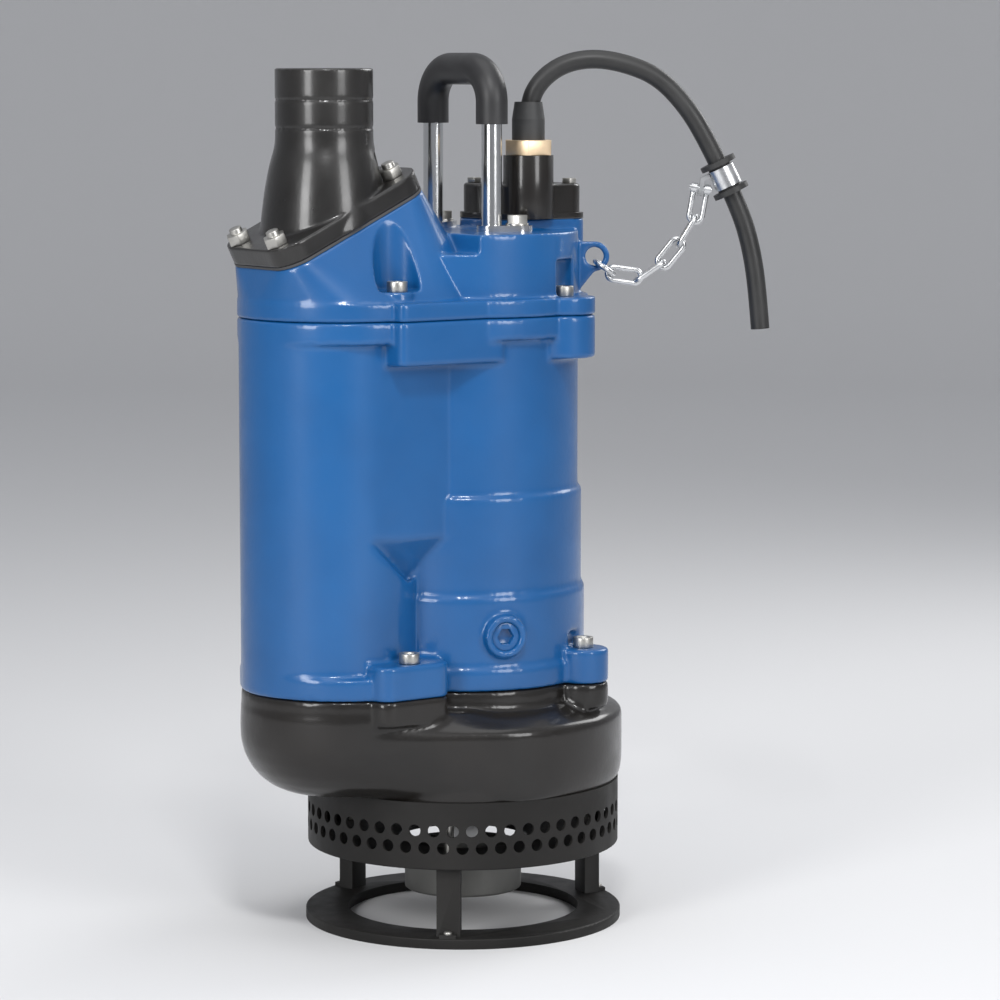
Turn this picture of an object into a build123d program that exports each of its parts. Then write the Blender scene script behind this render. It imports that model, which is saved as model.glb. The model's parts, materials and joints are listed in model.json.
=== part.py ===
from build123d import *
import math
import os

os.makedirs("parts", exist_ok=True)

# Clearances between pieces
slip = 0.1
seat_gap = 0.3

# Stand: flat ring, three legs and their feet
ring_outside = 15.0
ring_inside = 19.0
ring_height = 8.0
ring_edge_round = 1.2
leg_count = 3
leg_start_angle = 230.0
leg_inset = 13.0
leg_width = 18.5
leg_depth = 13.0
leg_height = 54.0
foot_reach = 7.0
foot_width = 13.0
foot_thickness = 3.0
foot_screw_r = 1.8
foot_screw_head_r = 3.2
foot_screw_head_height = 2.2

# Strainer: perforated sleeve with a bottom plate
strainer_r = 125.0
strainer_sheet = 2.5
strainer_height = 53.0
strainer_mouth_r = 52.0
strainer_hole_r = 4.75
strainer_holes_per_row = 52
strainer_row_heights = (17.3, 30.7)
strainer_stud_r = 4.0
strainer_stud_depth = 11.0

# Pump casing: spiral volute and discharge elbow
skirt_height = 11.0
skirt_width = 15.0
spiral_start_angle = 250.0
spiral_end_angle = 485.0
spiral_start_r = 125.5
spiral_growth = 24.0
spiral_power = 2.0
spiral_points = 9
elbow_x = -113.0
elbow_outside = 12.0
casing_floor = 10.0
casing_wall = 11.0
spiral_round = 18.0
spiral_start_round_share = 0.15
elbow_round = 48.0
shoulder_rise = 53.0
roof_rise = 16.0
neck_height = 14.0
neck_r = 98.0
neck_step = 1.0
lug_root = 6.0
casing_mouth_r = 93.0
chamber_ledge_r = 84.0
chamber_bore_r = 90.0
chamber_ledge_depth = 20.0

# Suction cover under the volute
suction_plate = 10.0
suction_inlet_r = 40.0
suction_lip_r = 46.0
suction_lip_wall = 6.0
suction_lip_drop = 9.0
suction_screw_circle_r = 99.0
suction_screw_count = 6
suction_screw_r = 4.0

# Motor frame: motor cylinder, discharge lobe and flanges
passage_x = -140.0
passage_r = 40.0
motor_r = 92.0
motor_mid_r = 94.9
motor_low_r = 97.4
motor_low_height = 73.0
motor_mid_height = 78.0
flange_r = 100.0
flange_height = 17.0
frame_height = 291.0
lobe_x = -126.0
lobe_r = 70.0
web_foot = 122.0
web_slope_in = 24.0
web_slope_down = 36.0
stator_bore_r = 80.0
oil_bore_r = 86.0
oil_chamber_height = 66.0
partition = 12.0
partition_hole_r = 40.0
lower_lobe_bolt_x = -104.0
lower_lobe_bolt_outside = 9.0
lower_motor_bolt = (54.0, 90.0)
lower_lug_height = 27.0
lobe_lug_r = 13.0
lobe_pad_half = 33.0
motor_lug_r = 20.0
upper_lobe_bolt_x = -107.0
upper_lobe_bolt_inset = 2.0
upper_motor_bolt = (42.0, 79.0)
bar_left = -119.0
bar_right = -21.0
bar_reach = 92.0
bar_drop = 34.0
upper_motor_lug_r = 25.0

# Oil plug on the front of the frame
plug_angle = 255.0
plug_above_joint = 43.0
plug_boss_r = 17.0
plug_boss_reach = 104.0
plug_r = 11.0
plug_hex = 12.0
plug_washer = 2.0

# Upper casing: cap over the motor and sloped discharge block
cap_flange_height = 14.0
cap_height = 49.0
pad_rise = 15.0
pad_left = -40.0
cap_hollow_height = 39.0
slope_x = -129.0
slope_rise = 68.0
slope_angle = 25.4
slope_length = 143.0
slope_shift = 3.5
slope_width = 96.0
slope_corner_r = 22.0
block_x = -114.0
block_outside = 10.0
block_reach = 36.0
lobe_boss_height = 22.0
lobe_boss_r = 13.0
lobe_pocket_r = 18.0
motor_pocket_r = 14.0
motor_pocket_height = 29.0

# Head cover, its seat and the gland boss
head_x = 57.6
head_length = 72.0
head_width = 78.0
head_corner_r = 14.0
head_lip = 3.0
head_lip_height = 4.0
head_height = 27.0
head_seat_height = 8.5
head_gasket = 0.5
head_wall = 5.0
head_bolts = ((26.0, -29.0), (26.0, 29.0), (-26.0, 29.0), (-28.0, -2.0))
head_bolt_r = 3.0
cable_hole_r = 20.0
gland_boss_r = 20.0
gland_boss_height = 50.0
gland_thread_r = 13.0
gland_thread_depth = 16.0
gland_nut_flats = 36.0
gland_nut_height = 12.0
boot_r = 13.0
boot_top_r = 11.0
boot_flare = 2.4
boot_height = 30.0

# Chain eye on the cap
eye_reach = 105.0
eye_rise = 43.0
eye_hole_r = 7.0
eye_r = 12.0
eye_thickness = 5.0

# Lifting handle
handle_bar_r = 8.0
handle_half_span = 41.0
handle_rise = 127.0
handle_bend_r = 26.0
handle_plate = 5.0
handle_plate_r = 12.0
handle_bolt = (16.4, 52.5)
grip_r = 12.5
grip_drop = 43.0

# Discharge gasket, coupling and spigot
discharge_gasket_thickness = 2.0
coupling_flange = 15.0
coupling_stud_end_inset = 13.5
coupling_stud_side_inset = 21.0
coupling_stud_r = 5.0
spigot_r = 38.0
spigot_bore_r = 33.0
spigot_rise = 123.7
spigot_length = 52.7
flare_mid_r = 41.0
flare_mid_rise = 55.0
flare_root = 60.0
flare_foot_r = 50.0
groove_drops = (45.7, 24.2)
groove_depth = 1.2
groove_width = 2.4
coupling_throat_r = 36.0

# Power cable and its clamp, in the upright plane through the pump axis
cable_plane_angle = -35.0
cable_r = 7.5
cable_route = (
    (52.4, 632.0),
    (52.4, 651.8),
    (61.0, 670.2),
    (79.5, 684.0),
    (104.0, 688.5),
    (130.0, 684.0),
    (155.5, 673.5),
    (178.0, 650.0),
    (194.8, 621.7),
    (220.8, 567.7),
    (229.5, 538.0),
    (234.5, 506.0),
    (237.0, 474.5),
)
clamp_run = 8
clamp_sleeve_length = 28.0
clamp_sleeve_r = 9.5
clamp_collar_r = 14.5
clamp_collar = 4.0
clamp_band_width = 16.0
clamp_band_wall = 1.5
clamp_eye_reach = 21.0
clamp_eye_hole_r = 4.2
clamp_strap = 3.0
clamp_strap_half_width = 6.5
clamp_strap_rise = 7.5
clamp_strap_foot = 6.3
clamp_strap_tail = 6.0

# Chain between the cap's eye and the cable clamp
chain_wire_r = 2.2
chain_link_width = 15.0
chain_pitch = 22.0
chain_link_turns = (-8.0, 34.6, 51.0, 59.0)
chain_ring_r = 8.6
chain_ring_turn = -34.0
chain_hang_turn = -80.0
eye_play = 0.6
shackle_width = 15.0
shackle_pin_r = 2.4
shackle_ear_r = 4.2

# Shaft line: seal, bearing and rotor sizes
shaft_low_r = 12.5
shaft_seal_r = 15.0
shaft_core_r = 20.0
shaft_tip = 8.0
shaft_core_foot = 10.0
shaft_core_head = 18.0
shaft_end = 2.0
impeller_r = 88.0
impeller_clearance = 1.5
impeller_shroud = 6.0
impeller_height = 43.5
impeller_hub_r = 26.0
vane_count = 4
vane_thickness = 8.0
vane_sweep = 100.0
key_width = 8.0
key_rise = 3.0
key_length = 26.0
agitator_r = 47.0
agitator_hang = 39.0
agitator_height = 35.0
agitator_wall = 5.0
agitator_hub_r = 20.0
agitator_blades = 4
agitator_blade = 7.0
agitator_seat_rise = 27.0
agitator_bolt_r = 6.0
agitator_bolt_head_r = 10.0
agitator_bolt_head = 8.0
lower_bearing_r = 31.0
lower_bearing_width = 16.0
upper_bearing_r = 26.0
upper_bearing_width = 15.0
upper_bearing_drop = 25.0
lower_ball_r = 4.6
upper_ball_r = 3.8
ball_count = 7
ball_gap = 0.2
race_lip = 1.6
stator_foot = 24.0
stator_head = 44.0
air_gap = 0.8
rotor_r = 49.4
winding_height = 18.0
winding_inner_r = 56.0
winding_outer_r = 76.0
end_ring_height = 9.0
end_ring_inner_r = 30.0
seal_seat_wall = 5.0
seal_seat_height = 8.0
seal_rotor_height = 10.0
bracket_rim_r = 83.5
bracket_rim = 5.0
bracket_web = 14.0
protector_r = 19.0
protector_height = 20.0

# Fastener sizes
joint_bolt_r = 5.0
joint_bolt_head_r = 8.0
joint_bolt_head = 8.0
joint_bolt_grip = 20.0
joint_bolt_socket = 8.0
hex_head = 6.5
handle_bolt_grip = 14.0
washer_height = 1.6

# Smaller sizes of the shaft line and the fastened pieces
bar_corner_r = 6.0
plug_boss_depth = 16.0
plug_depth = 14.0
plug_recess = 3.0
oil_tower_r = 36.0
oil_tower_rise = 36.0
bearing_lip_r = 24.0
bearing_lip = 4.0
bearing_flange = 12.0
bearing_flange_height = 5.0
shaft_tip_r = 10.0
agitator_hub_height = 14.0
agitator_floor = 6.0
agitator_bolt_grip = 18.0
impeller_eye = 6.0
vane_middle_r = 60.0
coupling_stud_grip = 14.0
coupling_nut_r = 9.2
coupling_nut = 8.0
head_bolt_grip = 12.0
packing_height = 14.0

# Heights and radii worked out from the sizes above
leg_centre_r = strainer_r - leg_inset
ring_outer_r = leg_centre_r + ring_outside
ring_inner_r = leg_centre_r - ring_inside
elbow_r = lobe_r + elbow_outside
block_r = lobe_r + block_outside
lower_lobe_bolt = (lower_lobe_bolt_x, lobe_r + lower_lobe_bolt_outside)
upper_lobe_bolt = (upper_lobe_bolt_x, lobe_r - upper_lobe_bolt_inset)
coupling_stud_x = slope_length / 2 - coupling_stud_end_inset
coupling_stud_y = slope_width / 2 - coupling_stud_side_inset
strainer_bottom = ring_height + leg_height
strainer_top = strainer_bottom + strainer_height
casing_bottom = strainer_top
cavity_floor = casing_bottom + casing_floor
shoulder_z = casing_bottom + shoulder_rise
roof_z = shoulder_z + roof_rise
joint_z = roof_z + neck_height
frame_top = joint_z + frame_height
skirt_bottom = casing_bottom - skirt_height
skirt_outer_r = strainer_r - strainer_sheet - slip
skirt_inner_r = skirt_outer_r - skirt_width
chamber_ledge_z = joint_z - chamber_ledge_depth
oil_chamber_top = joint_z + oil_chamber_height
partition_top = oil_chamber_top + partition
cap_flange_top = frame_top + cap_flange_height
cap_top = frame_top + cap_height
pad_top = cap_top + pad_rise
head_seat_top = pad_top + head_seat_height
head_bottom = head_seat_top + head_gasket
head_top = head_bottom + head_height
gland_top = head_bottom + gland_boss_height
nut_top = gland_top + gland_nut_height
plug_z = joint_z + plug_above_joint
lower_lug_top = joint_z + lower_lug_height
lobe_boss_top = frame_top + lobe_boss_height
gland_reach = cable_route[0][0]
motor_low_top = joint_z + motor_low_height
motor_mid_top = motor_low_top + motor_mid_height
web_bottom = joint_z + web_foot
oil_tower_top = joint_z + oil_tower_rise
slope_z = frame_top + slope_rise
spigot_top = slope_z + spigot_rise
spigot_foot_z = spigot_top - spigot_length
flare_mid_z = slope_z + flare_mid_rise
handle_apex = pad_top + handle_rise
grip_bottom = handle_apex - grip_drop
eye_height = frame_top + eye_rise
upper_bearing_bottom = frame_top - upper_bearing_drop
stator_bottom = partition_top + stator_foot
stator_height = upper_bearing_bottom - stator_head - stator_bottom
impeller_bottom = cavity_floor + impeller_clearance
impeller_top = impeller_bottom + impeller_height
agitator_bottom = strainer_bottom - agitator_hang
agitator_seat = agitator_bottom + agitator_seat_rise
shaft_bottom = agitator_seat - shaft_tip
shaft_core_bottom = partition_top + shaft_core_foot
shaft_core_top = upper_bearing_bottom - shaft_core_head
shaft_top = upper_bearing_bottom + upper_bearing_width + shaft_end

slope_plane = Plane(
    origin=(slope_x, 0, slope_z),
    x_dir=(math.cos(math.radians(slope_angle)), 0, math.sin(math.radians(slope_angle))),
    z_dir=(-math.sin(math.radians(slope_angle)), 0, math.cos(math.radians(slope_angle))),
)
cable_cos = math.cos(math.radians(cable_plane_angle))
cable_sin = math.sin(math.radians(cable_plane_angle))
cable_plane = Plane(origin=(0, 0, 0), x_dir=(cable_cos, cable_sin, 0), z_dir=(cable_sin, -cable_cos, 0))


def in_cable_plane(reach, height):
    """Point of the cable's upright plane, from its distance to the pump axis and its height."""
    return Vector(reach * cable_cos, reach * cable_sin, height)


def both_sides(place):
    """The same plan point on the front and on the back of the pump."""
    return (place[0], -place[1]), (place[0], place[1])


def ring_profile(points):
    """Edges of a closed half section, drawn as radius and height."""
    with BuildLine() as section:
        Polyline(*points, close=True)
    return section.edges()


def spiral_share(angle):
    return (angle - spiral_start_angle) / (spiral_end_angle - spiral_start_angle)


def spiral_radius(angle):
    return spiral_start_r + spiral_growth * spiral_share(angle) ** spiral_power


def bottom_inset(angle, rise):
    """How far the spiral's bottom edge stands in: its rounding grows along the spiral."""
    share = spiral_start_round_share + (1 - spiral_start_round_share) * spiral_share(angle) ** 2
    return share * round_inset(spiral_round, rise)


def touch_point(point, radius, side):
    """Where the tangent from a point touches the elbow's circle, on one side."""
    away = (point[0] - elbow_x, point[1])
    distance = math.hypot(*away)
    angle = math.atan2(away[1], away[0]) + side * math.acos(radius / distance)
    return elbow_x + radius * math.cos(angle), radius * math.sin(angle)


def volute_outline(elbow_radius, inset_at):
    """Plan outline of the volute: a growing spiral joined to the elbow's arc by two tangents."""
    spiral = []
    for step in range(spiral_points):
        share = step / (spiral_points - 1)
        angle = spiral_start_angle + (spiral_end_angle - spiral_start_angle) * share
        radius = spiral_radius(angle) - inset_at(angle)
        spiral.append((radius * math.cos(math.radians(angle)), radius * math.sin(math.radians(angle))))
    front_touch = touch_point(spiral[0], elbow_radius, -1)
    back_touch = touch_point(spiral[-1], elbow_radius, 1)
    into_spiral = (spiral[0][0] - front_touch[0], spiral[0][1] - front_touch[1])
    out_of_spiral = (back_touch[0] - spiral[-1][0], back_touch[1] - spiral[-1][1])
    with BuildLine() as outline:
        Spline(*spiral, tangents=(into_spiral, out_of_spiral))
        Line(spiral[-1], back_touch)
        ThreePointArc(back_touch, (elbow_x - elbow_radius, 0), front_touch)
        Line(front_touch, spiral[0])
    return outline.edges()


def round_inset(radius, rise):
    """How far a rounded bottom edge of this radius stands in at a height above the bottom."""
    if rise >= radius:
        return 0.0
    return radius - math.sqrt(radius**2 - (radius - rise) ** 2)


def wire_stadium(centre_length, width, wire_r, plane):
    """A chain link: round wire bent to a stadium that lies in the plane, long along its x."""
    end_r = (width - 2 * wire_r) / 2
    half = centre_length / 2 - end_r
    with BuildPart() as link:
        with BuildLine(plane) as path:
            Line((-half, -end_r), (half, -end_r))
            ThreePointArc((half, -end_r), (half + end_r, 0), (half, end_r))
            Line((half, end_r), (-half, end_r))
            ThreePointArc((-half, end_r), (-half - end_r, 0), (-half, -end_r))
        with BuildSketch(Plane(origin=path.wires()[0] @ 0, z_dir=path.wires()[0] % 0)):
            Circle(wire_r)
        sweep(path=path.wires()[0])
    return link.part


with BuildPart() as base_stand:
    with BuildSketch():
        Circle(ring_outer_r)
        Circle(ring_inner_r, mode=Mode.SUBTRACT)
    extrude(amount=ring_height)
    fillet(base_stand.edges().group_by(Axis.Z)[-1].sort_by(SortBy.RADIUS)[-1], ring_edge_round)
    with BuildSketch(Plane.XY.offset(ring_height)):
        with PolarLocations(leg_centre_r, leg_count, leg_start_angle):
            Rectangle(leg_depth, leg_width)
    extrude(amount=leg_height)
    with BuildSketch(Plane.XY.offset(ring_height)):
        with PolarLocations(leg_centre_r + leg_depth / 2 + foot_reach / 2, leg_count, leg_start_angle):
            Rectangle(foot_reach, foot_width)
    extrude(amount=foot_thickness)
    with BuildSketch(Plane.XY.offset(ring_height + leg_height)):
        with PolarLocations(leg_centre_r, leg_count, leg_start_angle):
            Circle(strainer_stud_r + slip)
    extrude(amount=-strainer_stud_depth - 1, mode=Mode.SUBTRACT)
    with BuildSketch(Plane.XY.offset(ring_height + foot_thickness)):
        with PolarLocations(leg_centre_r + leg_depth / 2 + foot_reach / 2, leg_count, leg_start_angle):
            Circle(foot_screw_r + slip)
    extrude(amount=-ring_height, mode=Mode.SUBTRACT)
base_stand.part.label = "base_stand"
export_step(base_stand.part, "parts/base_stand.step")

with BuildPart() as stand_screws:
    with BuildSketch(Plane.XY.offset(ring_height + foot_thickness)):
        with PolarLocations(leg_centre_r + leg_depth / 2 + foot_reach / 2, leg_count, leg_start_angle):
            Circle(foot_screw_head_r)
    extrude(amount=foot_screw_head_height)
    fillet(stand_screws.edges().group_by(Axis.Z)[-1], foot_screw_head_height * 0.6)
    with BuildSketch(Plane.XY.offset(ring_height + foot_thickness)):
        with PolarLocations(leg_centre_r + leg_depth / 2 + foot_reach / 2, leg_count, leg_start_angle):
            Circle(foot_screw_r)
    extrude(amount=-ring_height + 1)
stand_screws.part.label = "stand_screws"
export_step(stand_screws.part, "parts/stand_screws.step")

with BuildPart() as strainer_plate:
    with BuildSketch(Plane.XY.offset(strainer_bottom)):
        Circle(strainer_r - strainer_sheet - slip)
        Circle(strainer_mouth_r, mode=Mode.SUBTRACT)
        with PolarLocations(leg_centre_r, leg_count, leg_start_angle):
            Circle(strainer_stud_r + slip, mode=Mode.SUBTRACT)
    extrude(amount=strainer_sheet)
strainer_plate.part.label = "strainer_plate"
export_step(strainer_plate.part, "parts/strainer_plate.step")

with BuildPart() as strainer_screen:
    with BuildSketch(Plane.XY.offset(strainer_bottom)):
        Circle(strainer_r)
        Circle(strainer_r - strainer_sheet, mode=Mode.SUBTRACT)
    extrude(amount=strainer_height)
    fillet(strainer_screen.edges().group_by(Axis.Z)[0].sort_by(SortBy.RADIUS)[-1], strainer_sheet * 0.6)
    for row, height in enumerate(strainer_row_heights):
        with Locations((0, 0, strainer_bottom + height)):
            half_step = 180 / strainer_holes_per_row
            with PolarLocations(strainer_r - strainer_sheet / 2, strainer_holes_per_row, row * half_step):
                Cylinder(strainer_hole_r, strainer_sheet * 3, rotation=(0, 90, 0), mode=Mode.SUBTRACT)
strainer_screen.part.label = "strainer_screen"
export_step(strainer_screen.part, "parts/strainer_screen.step")

with BuildPart() as strainer_studs:
    with BuildSketch(Plane.XY.offset(strainer_bottom - strainer_stud_depth)):
        with PolarLocations(leg_centre_r, leg_count, leg_start_angle):
            Circle(strainer_stud_r)
    extrude(amount=skirt_bottom + skirt_height - 2 - strainer_bottom + strainer_stud_depth)
strainer_studs.part.label = "strainer_studs"
export_step(strainer_studs.part, "parts/strainer_studs.step")

suction_section = ring_profile(
    (
        (suction_inlet_r, cavity_floor),
        (casing_mouth_r - 2 * slip, cavity_floor),
        (casing_mouth_r - 2 * slip, casing_bottom),
        (skirt_inner_r - seat_gap, casing_bottom),
        (skirt_inner_r - seat_gap, casing_bottom - suction_plate),
        (suction_lip_r + suction_lip_wall * 1.6, casing_bottom - suction_plate),
        (suction_lip_r + suction_lip_wall, casing_bottom - suction_plate - suction_lip_drop),
        (suction_lip_r, casing_bottom - suction_plate - suction_lip_drop),
        (suction_inlet_r, casing_bottom),
    )
)
with BuildPart() as suction_cover:
    with BuildSketch(Plane.XZ):
        make_face(suction_section)
    revolve(axis=Axis.Z)
    with BuildSketch(Plane.XY.offset(casing_bottom)):
        with PolarLocations(suction_screw_circle_r, suction_screw_count):
            Circle(suction_screw_r + seat_gap)
    extrude(amount=-suction_plate, mode=Mode.SUBTRACT)
suction_cover.part.label = "suction_cover"
export_step(suction_cover.part, "parts/suction_cover.step")

with BuildPart() as suction_screws:
    with BuildSketch(Plane.XY.offset(casing_bottom - suction_plate)):
        with PolarLocations(suction_screw_circle_r, suction_screw_count):
            RegularPolygon(hex_head, 6, major_radius=False)
    extrude(amount=-hex_head * 0.8)
    with BuildSketch(Plane.XY.offset(casing_bottom - suction_plate)):
        with PolarLocations(suction_screw_circle_r, suction_screw_count):
            Circle(suction_screw_r)
    extrude(amount=suction_plate + casing_floor - 3)
suction_screws.part.label = "suction_screws"
export_step(suction_screws.part, "parts/suction_screws.step")

# Volute sections: rounded bottom, upright wall, then a roof that rises inwards to the neck
volute_sections = []
for rise in (0, 2.5, 7, 13, 21, 31, 42, shoulder_rise):
    outline = volute_outline(elbow_r - round_inset(elbow_round, rise), lambda angle: bottom_inset(angle, rise))
    volute_sections.append((casing_bottom + rise, outline))
for roof_share, inset_share in ((0.15, 0.05), (0.5, 0.4), (1.0, 1.0)):
    outline = volute_outline(elbow_r, lambda angle: inset_share * (spiral_radius(angle) - neck_r))
    volute_sections.append((shoulder_z + roof_share * roof_rise, outline))
cavity_sections = []
for rise, elbow_wall, spiral_wall in ((0, 42, 22), (10, 24, 13), (25, 14, 11), (41, 12, 11)):
    outline = volute_outline(elbow_r - elbow_wall, lambda angle: spiral_wall)
    cavity_sections.append((cavity_floor + rise, outline))
cavity_roof = volute_outline(elbow_r - casing_wall - 2, lambda angle: spiral_radius(angle) - chamber_bore_r)
cavity_sections.append((chamber_ledge_z - 2, cavity_roof))
with BuildPart() as pump_casing:
    for height, outline in volute_sections:
        with BuildSketch(Plane.XY.offset(height)):
            make_face(outline)
    loft(ruled=True)
    with BuildSketch(Plane.XY.offset(shoulder_z)):
        with Locations((elbow_x, 0)):
            Circle(elbow_r - neck_step)
        Circle(flange_r - neck_step)
    extrude(amount=joint_z - shoulder_z)
    with BuildSketch(Plane.XY.offset(roof_z - lug_root)):
        with Locations(*both_sides(lower_motor_bolt)):
            Circle(motor_lug_r)
        with Locations((lower_lobe_bolt[0], 0)):
            RectangleRounded(2 * lobe_pad_half, 2 * (lower_lobe_bolt[1] + lobe_lug_r), lobe_lug_r)
    extrude(amount=joint_z - roof_z + lug_root)
    with BuildSketch(Plane.XY.offset(skirt_bottom)):
        Circle(skirt_outer_r)
        Circle(skirt_inner_r, mode=Mode.SUBTRACT)
    extrude(amount=skirt_height + spiral_round * 0.5)
    for height, outline in cavity_sections:
        with BuildSketch(Plane.XY.offset(height)):
            make_face(outline)
    loft(ruled=True, mode=Mode.SUBTRACT)
    with BuildSketch(Plane.XY.offset(casing_bottom)):
        Circle(casing_mouth_r)
    extrude(amount=casing_floor, mode=Mode.SUBTRACT)
    with BuildSketch(Plane.XY.offset(chamber_ledge_z - 8)):
        Circle(chamber_ledge_r)
    extrude(amount=9, mode=Mode.SUBTRACT)
    with BuildSketch(Plane.XY.offset(chamber_ledge_z)):
        Circle(chamber_bore_r)
    extrude(amount=chamber_ledge_depth, mode=Mode.SUBTRACT)
    with BuildSketch(Plane.XY.offset(shoulder_z - 4)):
        with Locations((passage_x, 0)):
            Circle(passage_r)
    extrude(amount=joint_z - shoulder_z + 4, mode=Mode.SUBTRACT)
    with BuildSketch(Plane.XY.offset(joint_z)):
        with Locations(*both_sides(lower_lobe_bolt), *both_sides(lower_motor_bolt)):
            Circle(joint_bolt_r + slip)
    extrude(amount=-joint_bolt_grip, mode=Mode.SUBTRACT)
    with BuildSketch(Plane.XY.offset(casing_bottom)):
        with PolarLocations(suction_screw_circle_r, suction_screw_count):
            Circle(suction_screw_r + slip)
    extrude(amount=casing_floor - 2, mode=Mode.SUBTRACT)
    with BuildSketch(Plane.XY.offset(skirt_bottom)):
        with PolarLocations(leg_centre_r, leg_count, leg_start_angle):
            Circle(strainer_stud_r + slip)
    extrude(amount=skirt_height - 1, mode=Mode.SUBTRACT)
pump_casing.part.label = "pump_casing"
export_step(pump_casing.part, "parts/pump_casing.step")

# Flange outline shared by both ends of the motor frame and by the upper casing
with BuildSketch() as joint_outline:
    Circle(flange_r)
    with Locations((elbow_x, 0)):
        Circle(elbow_r)

plug_plane = Plane(
    origin=(
        plug_boss_reach * math.cos(math.radians(plug_angle)),
        plug_boss_reach * math.sin(math.radians(plug_angle)),
        plug_z,
    ),
    z_dir=(math.cos(math.radians(plug_angle)), math.sin(math.radians(plug_angle)), 0),
)
with BuildPart() as motor_frame:
    with BuildSketch(Plane.XY.offset(joint_z)):
        add(joint_outline.sketch)
        with Locations(*both_sides(lower_lobe_bolt)):
            Circle(lobe_lug_r)
    extrude(amount=flange_height)
    with BuildSketch(Plane.XY.offset(joint_z)):
        with Locations((lower_lobe_bolt[0], 0)):
            RectangleRounded(2 * lobe_pad_half, 2 * (lower_lobe_bolt[1] + lobe_lug_r), lobe_lug_r)
        with Locations(*both_sides(lower_motor_bolt)):
            Circle(motor_lug_r)
    extrude(amount=lower_lug_height)
    with BuildSketch(Plane.XY.offset(joint_z)):
        Circle(motor_low_r)
    extrude(amount=motor_low_top - joint_z)
    with BuildSketch(Plane.XY.offset(motor_low_top)):
        Circle(motor_mid_r)
    extrude(amount=motor_mid_top - motor_low_top)
    with BuildSketch(Plane.XY.offset(motor_mid_top)):
        Circle(motor_r)
    extrude(amount=frame_top - motor_mid_top)
    with BuildSketch(Plane.XY.offset(joint_z)):
        with Locations((lobe_x, 0)):
            Circle(lobe_r)
    extrude(amount=frame_height)
    with BuildSketch(Plane.YZ.offset(lobe_x)):
        with BuildLine():
            Polyline(
                (-lobe_r, frame_top),
                (-lobe_r, web_bottom),
                (-lobe_r + web_slope_in, web_bottom - web_slope_down),
                (lobe_r - web_slope_in, web_bottom - web_slope_down),
                (lobe_r, web_bottom),
                (lobe_r, frame_top),
                close=True,
            )
        make_face()
    extrude(amount=-lobe_x)
    with BuildSketch(Plane.XY.offset(frame_top)):
        add(joint_outline.sketch)
    extrude(amount=-flange_height)
    with BuildSketch(Plane.XY.offset(frame_top)):
        with Locations(((bar_left + bar_right) / 2, 0)):
            RectangleRounded(bar_right - bar_left, 2 * bar_reach, bar_corner_r)
        with Locations(*both_sides(upper_motor_bolt)):
            Circle(upper_motor_lug_r)
    extrude(amount=-bar_drop)
    with BuildSketch(plug_plane):
        Circle(plug_boss_r)
    extrude(amount=-plug_boss_depth)
    with BuildSketch(Plane.XY.offset(joint_z)):
        Circle(oil_bore_r)
    extrude(amount=oil_chamber_height, mode=Mode.SUBTRACT)
    with BuildSketch(Plane.XY.offset(oil_chamber_top)):
        Circle(partition_hole_r)
    extrude(amount=partition, mode=Mode.SUBTRACT)
    with BuildSketch(Plane.XY.offset(partition_top)):
        Circle(stator_bore_r)
    extrude(amount=frame_top - partition_top, mode=Mode.SUBTRACT)
    with BuildSketch(Plane.XY.offset(frame_top)):
        Circle(bracket_rim_r + slip)
    extrude(amount=-bracket_rim, mode=Mode.SUBTRACT)
    with BuildSketch(Plane.XY.offset(joint_z)):
        with Locations((passage_x, 0)):
            Circle(passage_r)
    extrude(amount=frame_height, mode=Mode.SUBTRACT)
    with BuildSketch(Plane.XY.offset(joint_z)):
        with Locations(*both_sides(lower_lobe_bolt), *both_sides(lower_motor_bolt)):
            Circle(joint_bolt_r + seat_gap)
    extrude(amount=lower_lug_height, mode=Mode.SUBTRACT)
    with BuildSketch(Plane.XY.offset(joint_z + lower_lug_height)):
        with Locations(*both_sides(lower_motor_bolt)):
            Circle(motor_lug_r - 7)
    extrude(amount=joint_bolt_head + 4, mode=Mode.SUBTRACT)
    with BuildSketch(Plane.XY.offset(frame_top)):
        with Locations(*both_sides(upper_lobe_bolt), *both_sides(upper_motor_bolt)):
            Circle(joint_bolt_r + slip)
    extrude(amount=-joint_bolt_grip, mode=Mode.SUBTRACT)
    with BuildSketch(plug_plane):
        Circle(plug_r + slip)
    extrude(amount=-plug_depth, mode=Mode.SUBTRACT)
motor_frame.part.label = "motor_frame"
export_step(motor_frame.part, "parts/motor_frame.step")

with BuildPart() as oil_plug:
    with BuildSketch(plug_plane.offset(-plug_recess)):
        Circle(plug_r)
        RegularPolygon(plug_hex / 2, 6, major_radius=False, mode=Mode.SUBTRACT)
    extrude(amount=-plug_hex / 2)
    with BuildSketch(plug_plane.offset(-plug_recess - plug_hex / 2)):
        Circle(plug_r)
    extrude(amount=-(plug_depth - plug_recess - plug_hex / 2 - plug_washer))
oil_plug.part.label = "oil_plug"
export_step(oil_plug.part, "parts/oil_plug.step")

with BuildPart() as oil_plug_washer:
    with BuildSketch(plug_plane.offset(-plug_depth)):
        Circle(plug_r)
        Circle(plug_r * 0.6, mode=Mode.SUBTRACT)
    extrude(amount=plug_washer)
oil_plug_washer.part.label = "oil_plug_washer"
export_step(oil_plug_washer.part, "parts/oil_plug_washer.step")

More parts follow.
